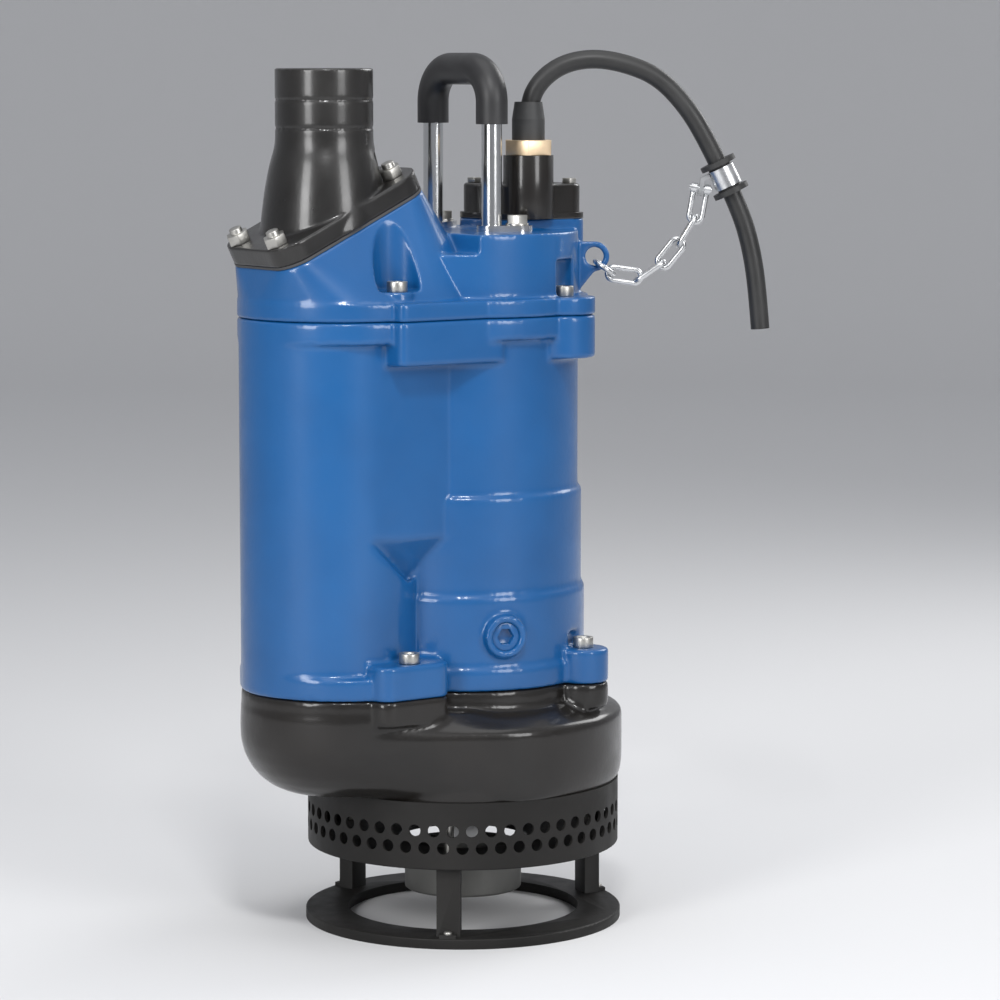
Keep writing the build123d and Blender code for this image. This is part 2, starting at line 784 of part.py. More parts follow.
with BuildPart() as lower_joint_bolts:
    with BuildSketch(Plane.XY.offset(lower_lug_top)):
        with Locations(*both_sides(lower_lobe_bolt), *both_sides(lower_motor_bolt)):
            Circle(joint_bolt_head_r)
            RegularPolygon(joint_bolt_socket / 2, 6, major_radius=False, mode=Mode.SUBTRACT)
    extrude(amount=joint_bolt_head)
    with BuildSketch(Plane.XY.offset(lower_lug_top)):
        with Locations(*both_sides(lower_lobe_bolt), *both_sides(lower_motor_bolt)):
            Circle(joint_bolt_head_r)
    extrude(amount=joint_bolt_head / 2)
    with BuildSketch(Plane.XY.offset(lower_lug_top)):
        with Locations(*both_sides(lower_lobe_bolt), *both_sides(lower_motor_bolt)):
            Circle(joint_bolt_r)
    extrude(amount=-lower_lug_height - joint_bolt_grip + 2)
lower_joint_bolts.part.label = "lower_joint_bolts"
export_step(lower_joint_bolts.part, "parts/lower_joint_bolts.step")

oil_casing_section = ring_profile(
    (
        (shaft_seal_r + seal_seat_wall + 1, chamber_ledge_z),
        (chamber_bore_r - 2 * slip, chamber_ledge_z),
        (chamber_bore_r - 2 * slip, joint_z - 4),
        (oil_bore_r - 2 * slip, joint_z - 4),
        (oil_bore_r - 2 * slip, joint_z + 8),
        (oil_bore_r - 8, joint_z + 8),
        (oil_tower_r + 10, joint_z + 4),
        (oil_tower_r, oil_tower_top),
        (shaft_seal_r + seal_seat_wall + 1, oil_tower_top),
    )
)
with BuildPart() as oil_casing:
    with BuildSketch(Plane.XZ):
        make_face(oil_casing_section)
    revolve(axis=Axis.Z)
oil_casing.part.label = "oil_casing"
export_step(oil_casing.part, "parts/oil_casing.step")

with BuildPart() as casing_o_ring:
    with BuildSketch(Plane.XZ):
        with Locations((chamber_bore_r - 2.2, joint_z - 2)):
            Circle(1.9)
    revolve(axis=Axis.Z)
casing_o_ring.part.label = "casing_o_ring"
export_step(casing_o_ring.part, "parts/casing_o_ring.step")

# Mechanical seals: a still seat and a turning ring at each end of the oil casing
seal_seat_bottoms = (chamber_ledge_z + 2, oil_tower_top - seal_seat_height)
seal_rotor_bottoms = (
    chamber_ledge_z + 2 + seal_seat_height + seat_gap,
    oil_tower_top - seal_seat_height - seat_gap - seal_rotor_height,
)
with BuildPart() as seal_seats:
    for bottom in seal_seat_bottoms:
        with BuildSketch(Plane.XY.offset(bottom)):
            Circle(shaft_seal_r + seal_seat_wall + 1 - slip)
            Circle(shaft_seal_r + 1, mode=Mode.SUBTRACT)
        extrude(amount=seal_seat_height)
seal_seats.part.label = "seal_seats"
export_step(seal_seats.part, "parts/seal_seats.step")

with BuildPart() as seal_rotors:
    for bottom in seal_rotor_bottoms:
        with BuildSketch(Plane.XY.offset(bottom)):
            Circle(shaft_seal_r + seal_seat_wall - 1)
            Circle(shaft_seal_r + slip, mode=Mode.SUBTRACT)
        extrude(amount=seal_rotor_height)
seal_rotors.part.label = "seal_rotors"
export_step(seal_rotors.part, "parts/seal_rotors.step")

bearing_housing_section = ring_profile(
    (
        (bearing_lip_r, oil_chamber_top - bearing_lip),
        (partition_hole_r - 2 * slip, oil_chamber_top - bearing_lip),
        (partition_hole_r - 2 * slip, partition_top),
        (partition_hole_r + bearing_flange, partition_top),
        (partition_hole_r + bearing_flange, partition_top + bearing_flange_height),
        (lower_bearing_r + slip, partition_top + bearing_flange_height),
        (lower_bearing_r + slip, oil_chamber_top),
        (bearing_lip_r, oil_chamber_top),
    )
)
with BuildPart() as lower_bearing_housing:
    with BuildSketch(Plane.XZ):
        make_face(bearing_housing_section)
    revolve(axis=Axis.Z)
lower_bearing_housing.part.label = "lower_bearing_housing"
export_step(lower_bearing_housing.part, "parts/lower_bearing_housing.step")


def bearing_race(bottom, width, inner, outer, ball_circle_r, ball_r):
    """One race of a ball bearing: a ring with the balls' groove turned into it."""
    with BuildPart() as race:
        with BuildSketch(Plane.XY.offset(bottom)):
            Circle(outer)
            Circle(inner, mode=Mode.SUBTRACT)
        extrude(amount=width)
        with BuildSketch(Plane.XZ):
            with Locations((ball_circle_r, bottom + width / 2)):
                Circle(ball_r + ball_gap)
        revolve(axis=Axis.Z, mode=Mode.SUBTRACT)
    return race.part


def bearing_balls(bottom, width, ball_circle_r, ball_r):
    """The balls of one bearing, evenly spread."""
    with BuildPart() as balls:
        with Locations((0, 0, bottom + width / 2)):
            with PolarLocations(ball_circle_r, ball_count):
                Sphere(ball_r)
    return balls.part


lower_ball_circle_r = (lower_bearing_r + shaft_seal_r) / 2
upper_ball_circle_r = (upper_bearing_r + shaft_low_r) / 2
lower_race = (oil_chamber_top, lower_bearing_width)
upper_race = (upper_bearing_bottom, upper_bearing_width)

with BuildPart() as lower_bearing_outer_race:
    inner_wall = lower_ball_circle_r + lower_ball_r - race_lip
    add(bearing_race(*lower_race, inner_wall, lower_bearing_r, lower_ball_circle_r, lower_ball_r))
lower_bearing_outer_race.part.label = "lower_bearing_outer_race"
export_step(lower_bearing_outer_race.part, "parts/lower_bearing_outer_race.step")

with BuildPart() as lower_bearing_inner_race:
    outer_wall = lower_ball_circle_r - lower_ball_r + race_lip
    add(bearing_race(*lower_race, shaft_seal_r + slip, outer_wall, lower_ball_circle_r, lower_ball_r))
lower_bearing_inner_race.part.label = "lower_bearing_inner_race"
export_step(lower_bearing_inner_race.part, "parts/lower_bearing_inner_race.step")

with BuildPart() as lower_bearing_balls:
    add(bearing_balls(*lower_race, lower_ball_circle_r, lower_ball_r))
lower_bearing_balls.part.label = "lower_bearing_balls"
export_step(lower_bearing_balls.part, "parts/lower_bearing_balls.step")

with BuildPart() as upper_bearing_outer_race:
    inner_wall = upper_ball_circle_r + upper_ball_r - race_lip
    add(bearing_race(*upper_race, inner_wall, upper_bearing_r, upper_ball_circle_r, upper_ball_r))
upper_bearing_outer_race.part.label = "upper_bearing_outer_race"
export_step(upper_bearing_outer_race.part, "parts/upper_bearing_outer_race.step")

with BuildPart() as upper_bearing_inner_race:
    outer_wall = upper_ball_circle_r - upper_ball_r + race_lip
    add(bearing_race(*upper_race, shaft_low_r + slip, outer_wall, upper_ball_circle_r, upper_ball_r))
upper_bearing_inner_race.part.label = "upper_bearing_inner_race"
export_step(upper_bearing_inner_race.part, "parts/upper_bearing_inner_race.step")

with BuildPart() as upper_bearing_balls:
    add(bearing_balls(*upper_race, upper_ball_circle_r, upper_ball_r))
upper_bearing_balls.part.label = "upper_bearing_balls"
export_step(upper_bearing_balls.part, "parts/upper_bearing_balls.step")

with BuildPart() as stator_core:
    with BuildSketch(Plane.XY.offset(stator_bottom)):
        Circle(stator_bore_r - 2 * slip)
        Circle(rotor_r + air_gap, mode=Mode.SUBTRACT)
    extrude(amount=stator_height)
stator_core.part.label = "stator_core"
export_step(stator_core.part, "parts/stator_core.step")

with BuildPart() as stator_windings:
    for bottom in (stator_bottom - winding_height, stator_bottom + stator_height):
        with BuildSketch(Plane.XY.offset(bottom)):
            Circle(winding_outer_r)
            Circle(winding_inner_r, mode=Mode.SUBTRACT)
        extrude(amount=winding_height)
stator_windings.part.label = "stator_windings"
export_step(stator_windings.part, "parts/stator_windings.step")

with BuildPart() as rotor_core:
    with BuildSketch(Plane.XY.offset(stator_bottom)):
        Circle(rotor_r)
        Circle(shaft_core_r + slip, mode=Mode.SUBTRACT)
    extrude(amount=stator_height)
rotor_core.part.label = "rotor_core"
export_step(rotor_core.part, "parts/rotor_core.step")

with BuildPart() as rotor_end_rings:
    for bottom in (stator_bottom - end_ring_height, stator_bottom + stator_height):
        with BuildSketch(Plane.XY.offset(bottom)):
            Circle(rotor_r - 2)
            Circle(end_ring_inner_r, mode=Mode.SUBTRACT)
        extrude(amount=end_ring_height)
rotor_end_rings.part.label = "rotor_end_rings"
export_step(rotor_end_rings.part, "parts/rotor_end_rings.step")

bracket_section = ring_profile(
    (
        (0, frame_top),
        (bracket_rim_r, frame_top),
        (bracket_rim_r, frame_top - bracket_rim),
        (stator_bore_r - 2 * slip, frame_top - bracket_rim),
        (stator_bore_r - 2 * slip, frame_top - bracket_web),
        (upper_bearing_r + 10, frame_top - bracket_web - 4),
        (upper_bearing_r + 8, upper_bearing_bottom - 2),
        (upper_bearing_r + slip, upper_bearing_bottom - 2),
        (upper_bearing_r + slip, upper_bearing_bottom + upper_bearing_width),
        (upper_bearing_r - 5, upper_bearing_bottom + upper_bearing_width),
        (upper_bearing_r - 5, shaft_top + 2),
        (0, shaft_top + 2),
    )
)
with BuildPart() as upper_bearing_bracket:
    with BuildSketch(Plane.XZ):
        make_face(bracket_section)
    revolve(axis=Axis.Z)
upper_bearing_bracket.part.label = "upper_bearing_bracket"
export_step(upper_bearing_bracket.part, "parts/upper_bearing_bracket.step")

with BuildPart() as motor_protector:
    with BuildSketch(Plane.XY.offset(frame_top)):
        Circle(protector_r)
    extrude(amount=protector_height)
    chamfer(motor_protector.edges().group_by(Axis.Z)[-1], 2)
motor_protector.part.label = "motor_protector"
export_step(motor_protector.part, "parts/motor_protector.step")

# Shaft line: everything that turns with the motor
shaft_section = ring_profile(
    (
        (0, shaft_bottom),
        (shaft_tip_r, shaft_bottom),
        (shaft_tip_r, agitator_seat + agitator_hub_height),
        (shaft_low_r, agitator_seat + agitator_hub_height),
        (shaft_low_r, impeller_top),
        (shaft_seal_r, impeller_top),
        (shaft_seal_r, shaft_core_bottom),
        (shaft_core_r, shaft_core_bottom),
        (shaft_core_r, shaft_core_top),
        (shaft_seal_r, shaft_core_top),
        (shaft_seal_r, upper_bearing_bottom),
        (shaft_low_r, upper_bearing_bottom),
        (shaft_low_r, shaft_top),
        (0, shaft_top),
    )
)
with BuildPart() as motor_shaft:
    with BuildSketch(Plane.XZ):
        make_face(shaft_section)
    revolve(axis=Axis.Z)
    with BuildSketch(Plane.XY.offset(impeller_top - key_length - 4)):
        with Locations((shaft_low_r, 0)):
            Rectangle(2 * key_rise, key_width + slip)
    extrude(amount=key_length, mode=Mode.SUBTRACT)
    with BuildSketch(Plane.XY.offset(shaft_bottom)):
        Circle(agitator_bolt_r + slip)
    extrude(amount=agitator_bolt_grip + 2, mode=Mode.SUBTRACT)
motor_shaft.part.label = "motor_shaft"
export_step(motor_shaft.part, "parts/motor_shaft.step")

with BuildPart() as impeller_key:
    with BuildSketch(Plane.XY.offset(impeller_top - key_length - 4 + slip)):
        with Locations((shaft_low_r + slip / 2, 0)):
            Rectangle(2 * key_rise - slip, key_width - slip)
    extrude(amount=key_length - 2 * slip)
impeller_key.part.label = "impeller_key"
export_step(impeller_key.part, "parts/impeller_key.step")

vane_tip_r = impeller_r - 0.5
with BuildPart() as impeller:
    with BuildSketch(Plane.XY.offset(impeller_top - impeller_shroud)):
        Circle(impeller_r)
    extrude(amount=impeller_shroud)
    with BuildSketch(Plane.XY.offset(impeller_bottom + impeller_eye)):
        Circle(impeller_hub_r)
    extrude(amount=impeller_top - impeller_bottom - impeller_eye)
    with BuildSketch(Plane.XY.offset(impeller_bottom)):
        with PolarLocations(0, vane_count):
            with BuildLine() as vane_line:
                ThreePointArc(
                    (impeller_hub_r - 3, 0),
                    (
                        vane_middle_r * math.cos(math.radians(-vane_sweep * 0.42)),
                        vane_middle_r * math.sin(math.radians(-vane_sweep * 0.42)),
                    ),
                    (
                        vane_tip_r * math.cos(math.radians(-vane_sweep)),
                        vane_tip_r * math.sin(math.radians(-vane_sweep)),
                    ),
                )
            trace(line_width=vane_thickness)
    extrude(amount=impeller_top - impeller_shroud - impeller_bottom)
    with BuildSketch(Plane.XY.offset(impeller_bottom - 1)):
        Circle(impeller_r + 2 * vane_thickness)
        Circle(impeller_r, mode=Mode.SUBTRACT)
    extrude(amount=impeller_top - impeller_bottom + 2, mode=Mode.SUBTRACT)
    with BuildSketch(Plane.XY.offset(impeller_bottom - 1)):
        Circle(shaft_low_r + slip)
    extrude(amount=impeller_top - impeller_bottom + 2, mode=Mode.SUBTRACT)
    with BuildSketch(Plane.XY.offset(impeller_bottom - 1)):
        with Locations((shaft_low_r, 0)):
            Rectangle(2 * key_rise + 2 * slip, key_width + slip)
    extrude(amount=impeller_top - impeller_bottom - 2, mode=Mode.SUBTRACT)
impeller.part.label = "impeller"
export_step(impeller.part, "parts/impeller.step")

with BuildPart() as shaft_sleeve:
    with BuildSketch(Plane.XY.offset(agitator_seat + agitator_hub_height)):
        Circle(shaft_low_r + 4)
        Circle(shaft_low_r + slip, mode=Mode.SUBTRACT)
    extrude(amount=impeller_bottom + impeller_eye - agitator_seat - agitator_hub_height)
shaft_sleeve.part.label = "shaft_sleeve"
export_step(shaft_sleeve.part, "parts/shaft_sleeve.step")

with BuildPart() as agitator:
    with BuildSketch(Plane.XY.offset(agitator_bottom)):
        Circle(agitator_r)
        Circle(agitator_r - agitator_wall, mode=Mode.SUBTRACT)
    extrude(amount=agitator_height)
    with BuildSketch(Plane.XY.offset(agitator_bottom + agitator_blade)):
        with PolarLocations(agitator_r / 2, agitator_blades):
            Rectangle(agitator_r - agitator_wall / 2, agitator_blade)
        Circle(agitator_hub_r)
    extrude(amount=agitator_height - agitator_blade)
    with BuildSketch(Plane.XY.offset(agitator_bottom + agitator_height)):
        Circle(agitator_hub_r)
    extrude(amount=agitator_seat + agitator_hub_height - agitator_bottom - agitator_height)
    with BuildSketch(Plane.XY.offset(agitator_seat + agitator_hub_height)):
        Circle(shaft_tip_r + slip)
    extrude(amount=-agitator_seat - agitator_hub_height + shaft_bottom, mode=Mode.SUBTRACT)
    with BuildSketch(Plane.XY.offset(shaft_bottom)):
        Circle(agitator_bolt_r + slip)
    extrude(amount=agitator_bottom - shaft_bottom, mode=Mode.SUBTRACT)
    with BuildSketch(Plane.XY.offset(shaft_bottom - agitator_floor)):
        Circle(agitator_bolt_head_r + 2)
    extrude(amount=agitator_bottom - shaft_bottom, mode=Mode.SUBTRACT)
    fillet(agitator.edges().group_by(Axis.Z)[0].sort_by(SortBy.RADIUS)[-1], 2)
agitator.part.label = "agitator"
export_step(agitator.part, "parts/agitator.step")

with BuildPart() as agitator_bolt:
    with BuildSketch(Plane.XY.offset(shaft_bottom - agitator_floor)):
        RegularPolygon(agitator_bolt_head_r * 0.866, 6, major_radius=False)
    extrude(amount=-agitator_bolt_head)
    with BuildSketch(Plane.XY.offset(shaft_bottom - agitator_floor)):
        Circle(agitator_bolt_r)
    extrude(amount=agitator_floor + agitator_bolt_grip)
agitator_bolt.part.label = "agitator_bolt"
export_step(agitator_bolt.part, "parts/agitator_bolt.step")

# Upper casing: flange, motor cap, raised pad, sloped discharge block and chain eye
with BuildPart() as upper_casing:
    with BuildSketch(Plane.XY.offset(frame_top)):
        add(joint_outline.sketch)
        with Locations(*both_sides(upper_motor_bolt)):
            Circle(upper_motor_lug_r)
        with Locations(((bar_left + bar_right) / 2, 0)):
            RectangleRounded(bar_right - bar_left, 2 * bar_reach, bar_corner_r)
    extrude(amount=cap_flange_height)
    with BuildSketch(Plane.XY.offset(frame_top)):
        Circle(motor_r)
    extrude(amount=cap_height)
    with BuildSketch(Plane.XY.offset(frame_top)):
        with Locations(*both_sides(upper_lobe_bolt)):
            Circle(lobe_boss_r)
    extrude(amount=lobe_boss_height)
    with BuildSketch(Plane.XY.offset(cap_top)):
        Circle(motor_r)
        with Locations((pad_left - motor_r, 0)):
            Rectangle(2 * motor_r, 2 * motor_r, mode=Mode.SUBTRACT)
    extrude(amount=pad_rise)
    with BuildSketch(Plane.XY.offset(cap_top)):
        with Locations((head_x, 0)):
            RectangleRounded(head_length + 2 * head_lip, head_width + 2 * head_lip, head_corner_r + head_lip)
    extrude(amount=head_seat_top - cap_top)
    with BuildSketch(Plane.XY.offset(cap_flange_top)):
        with Locations((block_x + block_reach / 2, 0)):
            RectangleRounded(2 * block_r + block_reach, 2 * block_r, block_r - 1)
    with BuildSketch(slope_plane):
        with Locations((slope_shift, 0)):
            RectangleRounded(slope_length, slope_width, slope_corner_r)
    loft()
    with BuildSketch(cable_plane.offset(-eye_thickness / 2)):
        with BuildLine():
            Polyline(
                (motor_r - 6, eye_height + eye_r),
                (eye_reach, eye_height + eye_r),
                (eye_reach, eye_height - eye_r),
                (motor_r - 6, eye_height - 3 * eye_r),
                close=True,
            )
        make_face()
        with Locations((eye_reach, eye_height)):
            Circle(eye_r)
            Circle(eye_hole_r, mode=Mode.SUBTRACT)
    extrude(amount=eye_thickness)
    with BuildSketch(Plane.XY.offset(lobe_boss_top)):
        with Locations(*both_sides(upper_lobe_bolt)):
            Circle(lobe_pocket_r)
    extrude(amount=slope_z - frame_top, mode=Mode.SUBTRACT)
    with BuildSketch(Plane.XY.offset(cap_flange_top)):
        with Locations(*both_sides(upper_motor_bolt)):
            Circle(motor_pocket_r)
    extrude(amount=motor_pocket_height, mode=Mode.SUBTRACT)
    with BuildSketch(Plane.XY.offset(frame_top)):
        Circle(stator_bore_r)
        with Locations(*both_sides(upper_motor_bolt)):
            Circle(motor_pocket_r + 4, mode=Mode.SUBTRACT)
    extrude(amount=cap_hollow_height, mode=Mode.SUBTRACT)
    with BuildSketch(Plane.XY.offset(frame_top + cap_hollow_height)):
        with Locations((head_x, 0)):
            Circle(cable_hole_r)
    extrude(amount=head_seat_top - frame_top - cap_hollow_height, mode=Mode.SUBTRACT)
    with BuildSketch(Plane.XY.offset(frame_top)):
        with Locations((passage_x, 0)):
            Circle(passage_r)
    with BuildSketch(slope_plane):
        Circle(coupling_throat_r)
    loft(mode=Mode.SUBTRACT)
    with BuildSketch(Plane.XY.offset(frame_top)):
        with Locations(*both_sides(upper_lobe_bolt), *both_sides(upper_motor_bolt)):
            Circle(joint_bolt_r + seat_gap)
    extrude(amount=lobe_boss_height, mode=Mode.SUBTRACT)
    with BuildSketch(slope_plane):
        with GridLocations(2 * coupling_stud_x, 2 * coupling_stud_y, 2, 2):
            Circle(coupling_stud_r + slip)
    extrude(amount=-coupling_stud_grip - 1, mode=Mode.SUBTRACT)
    with BuildSketch(Plane.XY.offset(head_seat_top)):
        with Locations((head_x, 0)):
            with Locations(*head_bolts):
                Circle(head_bolt_r + slip)
    extrude(amount=-head_bolt_grip - 1, mode=Mode.SUBTRACT)
    with BuildSketch(Plane.XY.offset(pad_top)):
        with Locations(*both_sides(handle_bolt)):
            Circle(joint_bolt_r + slip)
    extrude(amount=-handle_bolt_grip - 1, mode=Mode.SUBTRACT)
    eye_edges = upper_casing.edges().filter_by(GeomType.CIRCLE).filter_by(lambda e: abs(e.radius - eye_hole_r) < 0.01)
    fillet(eye_edges, chain_wire_r)
upper_casing.part.label = "upper_casing"
export_step(upper_casing.part, "parts/upper_casing.step")

with BuildPart() as upper_joint_bolts:
    for place, seat in ((upper_lobe_bolt, lobe_boss_top), (upper_motor_bolt, cap_flange_top)):
        with BuildSketch(Plane.XY.offset(seat)):
            with Locations(*both_sides(place)):
                Circle(joint_bolt_head_r)
        extrude(amount=joint_bolt_head)
        with BuildSketch(Plane.XY.offset(seat + joint_bolt_head)):
            with Locations(*both_sides(place)):
                RegularPolygon(joint_bolt_socket / 2, 6, major_radius=False)
        extrude(amount=-joint_bolt_head / 2, mode=Mode.SUBTRACT)
        with BuildSketch(Plane.XY.offset(seat)):
            with Locations(*both_sides(place)):
                Circle(joint_bolt_r)
        extrude(amount=frame_top - joint_bolt_grip + 2 - seat)
upper_joint_bolts.part.label = "upper_joint_bolts"
export_step(upper_joint_bolts.part, "parts/upper_joint_bolts.step")

with BuildPart() as discharge_gasket:
    with BuildSketch(slope_plane):
        with Locations((slope_shift, 0)):
            RectangleRounded(slope_length, slope_width, slope_corner_r)
        Circle(coupling_throat_r, mode=Mode.SUBTRACT)
        with GridLocations(2 * coupling_stud_x, 2 * coupling_stud_y, 2, 2):
            Circle(coupling_stud_r + seat_gap, mode=Mode.SUBTRACT)
    extrude(amount=discharge_gasket_thickness)
discharge_gasket.part.label = "discharge_gasket"
export_step(discharge_gasket.part, "parts/discharge_gasket.step")

coupling_seat = slope_plane.offset(discharge_gasket_thickness)
with BuildPart() as discharge_coupling:
    with BuildSketch(Plane.XZ):
        with BuildLine():
            Polyline(
                (slope_x, slope_z - flare_root),
                (slope_x + flare_foot_r, slope_z - flare_root),
                (slope_x + flare_foot_r, slope_z),
            )
            Spline(
                (slope_x + flare_foot_r, slope_z),
                (slope_x + flare_mid_r, flare_mid_z),
                (slope_x + spigot_r, spigot_foot_z),
                tangents=((-0.1, 1), (0, 1)),
            )
            Polyline((slope_x + spigot_r, spigot_foot_z), (slope_x + spigot_r, spigot_top), (slope_x, spigot_top))
            Line((slope_x, spigot_top), (slope_x, slope_z - flare_root))
        make_face()
    revolve(axis=Axis((slope_x, 0, 0), (0, 0, 1)))
    split(bisect_by=coupling_seat, keep=Keep.TOP)
    with BuildSketch(coupling_seat):
        with Locations((slope_shift, 0)):
            RectangleRounded(slope_length, slope_width, slope_corner_r)
    extrude(amount=coupling_flange)
    with BuildSketch(Plane.XY.offset(spigot_foot_z)):
        with Locations((slope_x, 0)):
            Circle(spigot_bore_r)
    with BuildSketch(coupling_seat):
        Circle(coupling_throat_r)
    loft(mode=Mode.SUBTRACT)
    with BuildSketch(Plane.XY.offset(spigot_foot_z)):
        with Locations((slope_x, 0)):
            Circle(spigot_bore_r)
    extrude(amount=spigot_top - spigot_foot_z, mode=Mode.SUBTRACT)
    for drop in groove_drops:
        with BuildSketch(Plane.XY.offset(spigot_top - drop - groove_width / 2)):
            with Locations((slope_x, 0)):
                Circle(spigot_r + 1)
                Circle(spigot_r - groove_depth, mode=Mode.SUBTRACT)
        extrude(amount=groove_width, mode=Mode.SUBTRACT)
    with BuildSketch(coupling_seat):
        with GridLocations(2 * coupling_stud_x, 2 * coupling_stud_y, 2, 2):
            Circle(coupling_stud_r + seat_gap)
    extrude(amount=coupling_flange, mode=Mode.SUBTRACT)
    with BuildSketch(coupling_seat.offset(coupling_flange)):
        with GridLocations(2 * coupling_stud_x, 2 * coupling_stud_y, 2, 2):
            Circle(coupling_nut_r + 2)
    extrude(amount=coupling_nut * 3, mode=Mode.SUBTRACT)
discharge_coupling.part.label = "discharge_coupling"
export_step(discharge_coupling.part, "parts/discharge_coupling.step")

with BuildPart() as discharge_bolts:
    with BuildSketch(coupling_seat.offset(coupling_flange)):
        with GridLocations(2 * coupling_stud_x, 2 * coupling_stud_y, 2, 2):
            RegularPolygon(coupling_nut_r * 0.866, 6, major_radius=False)
    extrude(amount=coupling_nut)
    with BuildSketch(slope_plane):
        with GridLocations(2 * coupling_stud_x, 2 * coupling_stud_y, 2, 2):
            Circle(coupling_stud_r)
    extrude(amount=discharge_gasket_thickness + coupling_flange + coupling_nut + 4)
    with BuildSketch(slope_plane):
        with GridLocations(2 * coupling_stud_x, 2 * coupling_stud_y, 2, 2):
            Circle(coupling_stud_r)
    extrude(amount=-coupling_stud_grip)
discharge_bolts.part.label = "discharge_bolts"
export_step(discharge_bolts.part, "parts/discharge_bolts.step")

# Lifting handle: a bent bar on two foot plates
handle_points = (
    (-handle_half_span, pad_top + handle_plate / 2),
    (-handle_half_span, handle_apex),
    (handle_half_span, handle_apex),
    (handle_half_span, pad_top + handle_plate / 2),
)
grip_points = (
    (-handle_half_span, grip_bottom),
    (-handle_half_span, handle_apex),
    (handle_half_span, handle_apex),
    (handle_half_span, grip_bottom),
)
with BuildPart() as lifting_handle:
    with BuildLine(Plane.YZ) as bar_path:
        FilletPolyline(*handle_points, radius=handle_bend_r)
    with BuildSketch(Plane(origin=bar_path.wires()[0] @ 0, z_dir=bar_path.wires()[0] % 0)):
        Circle(handle_bar_r)
    sweep(path=bar_path.wires()[0])
    for side in (-1, 1):
        with BuildSketch(Plane.XY.offset(pad_top)) as foot:
            with Locations((0, side * handle_half_span), (handle_bolt[0], side * handle_bolt[1])):
                Circle(handle_plate_r)
            make_hull()
            with Locations((handle_bolt[0], side * handle_bolt[1])):
                Circle(joint_bolt_r + seat_gap, mode=Mode.SUBTRACT)
        extrude(amount=handle_plate)
lifting_handle.part.label = "lifting_handle"
export_step(lifting_handle.part, "parts/lifting_handle.step")

with BuildPart() as handle_grip:
    with BuildLine(Plane.YZ) as grip_path:
        FilletPolyline(*grip_points, radius=handle_bend_r)
    with BuildSketch(Plane(origin=grip_path.wires()[0] @ 0, z_dir=grip_path.wires()[0] % 0)):
        Circle(grip_r)
        Circle(handle_bar_r + slip, mode=Mode.SUBTRACT)
    sweep(path=grip_path.wires()[0])
handle_grip.part.label = "handle_grip"
export_step(handle_grip.part, "parts/handle_grip.step")

with BuildPart() as handle_bolts:
    with BuildSketch(Plane.XY.offset(pad_top + handle_plate)):
        with Locations(*both_sides(handle_bolt)):
            Circle(joint_bolt_head_r + 1)
    extrude(amount=washer_height)
    with BuildSketch(Plane.XY.offset(pad_top + handle_plate + washer_height)):
        with Locations(*both_sides(handle_bolt)):
            RegularPolygon(joint_bolt_head_r - 0.5, 6, major_radius=False)
    extrude(amount=hex_head)
    with BuildSketch(Plane.XY.offset(pad_top + handle_plate)):
        with Locations(*both_sides(handle_bolt)):
            Circle(joint_bolt_r)
    extrude(amount=-handle_plate - handle_bolt_grip)
handle_bolts.part.label = "handle_bolts"
export_step(handle_bolts.part, "parts/handle_bolts.step")

with BuildPart() as head_cover_gasket:
    with BuildSketch(Plane.XY.offset(head_seat_top)):
        with Locations((head_x, 0)):
            RectangleRounded(head_length + 2 * head_lip, head_width + 2 * head_lip, head_corner_r + head_lip)
            Circle(cable_hole_r, mode=Mode.SUBTRACT)
            with Locations(*head_bolts):
                Circle(head_bolt_r + seat_gap, mode=Mode.SUBTRACT)
    extrude(amount=head_gasket)
head_cover_gasket.part.label = "head_cover_gasket"
export_step(head_cover_gasket.part, "parts/head_cover_gasket.step")

gland_place = in_cable_plane(gland_reach, 0)
with BuildPart() as head_cover:
    with BuildSketch(Plane.XY.offset(head_bottom)):
        with Locations((head_x, 0)):
            RectangleRounded(head_length + 2 * head_lip, head_width + 2 * head_lip, head_corner_r + head_lip)
    extrude(amount=head_lip_height)
    with BuildSketch(Plane.XY.offset(head_bottom)):
        with Locations((head_x, 0)):
            RectangleRounded(head_length, head_width, head_corner_r)
    extrude(amount=head_height)
    fillet(head_cover.faces().sort_by(Axis.Z)[-1].edges(), 2.5)
    with BuildSketch(Plane.XY.offset(head_bottom)):
        with Locations((gland_place.X, gland_place.Y)):
            Circle(gland_boss_r)
    extrude(amount=gland_boss_height)
    with BuildSketch(Plane.XY.offset(head_bottom)):
        with Locations((head_x, 0)):
            Circle(cable_hole_r)
    extrude(amount=head_height - head_wall, mode=Mode.SUBTRACT)
    with BuildSketch(Plane.XY.offset(head_bottom + head_wall)):
        with Locations((gland_place.X, gland_place.Y)):
            Circle(cable_r + seat_gap)
    extrude(amount=gland_boss_height, mode=Mode.SUBTRACT)
    with BuildSketch(Plane.XY.offset(gland_top)):
        with Locations((gland_place.X, gland_place.Y)):
            Circle(gland_thread_r + slip)
    extrude(amount=-gland_thread_depth - packing_height, mode=Mode.SUBTRACT)
    with BuildSketch(Plane.XY.offset(head_top)):
        with Locations((head_x, 0)):
            with Locations(*head_bolts):
                Circle(head_bolt_r + seat_gap)
    extrude(amount=-head_height, mode=Mode.SUBTRACT)
head_cover.part.label = "head_cover"
export_step(head_cover.part, "parts/head_cover.step")

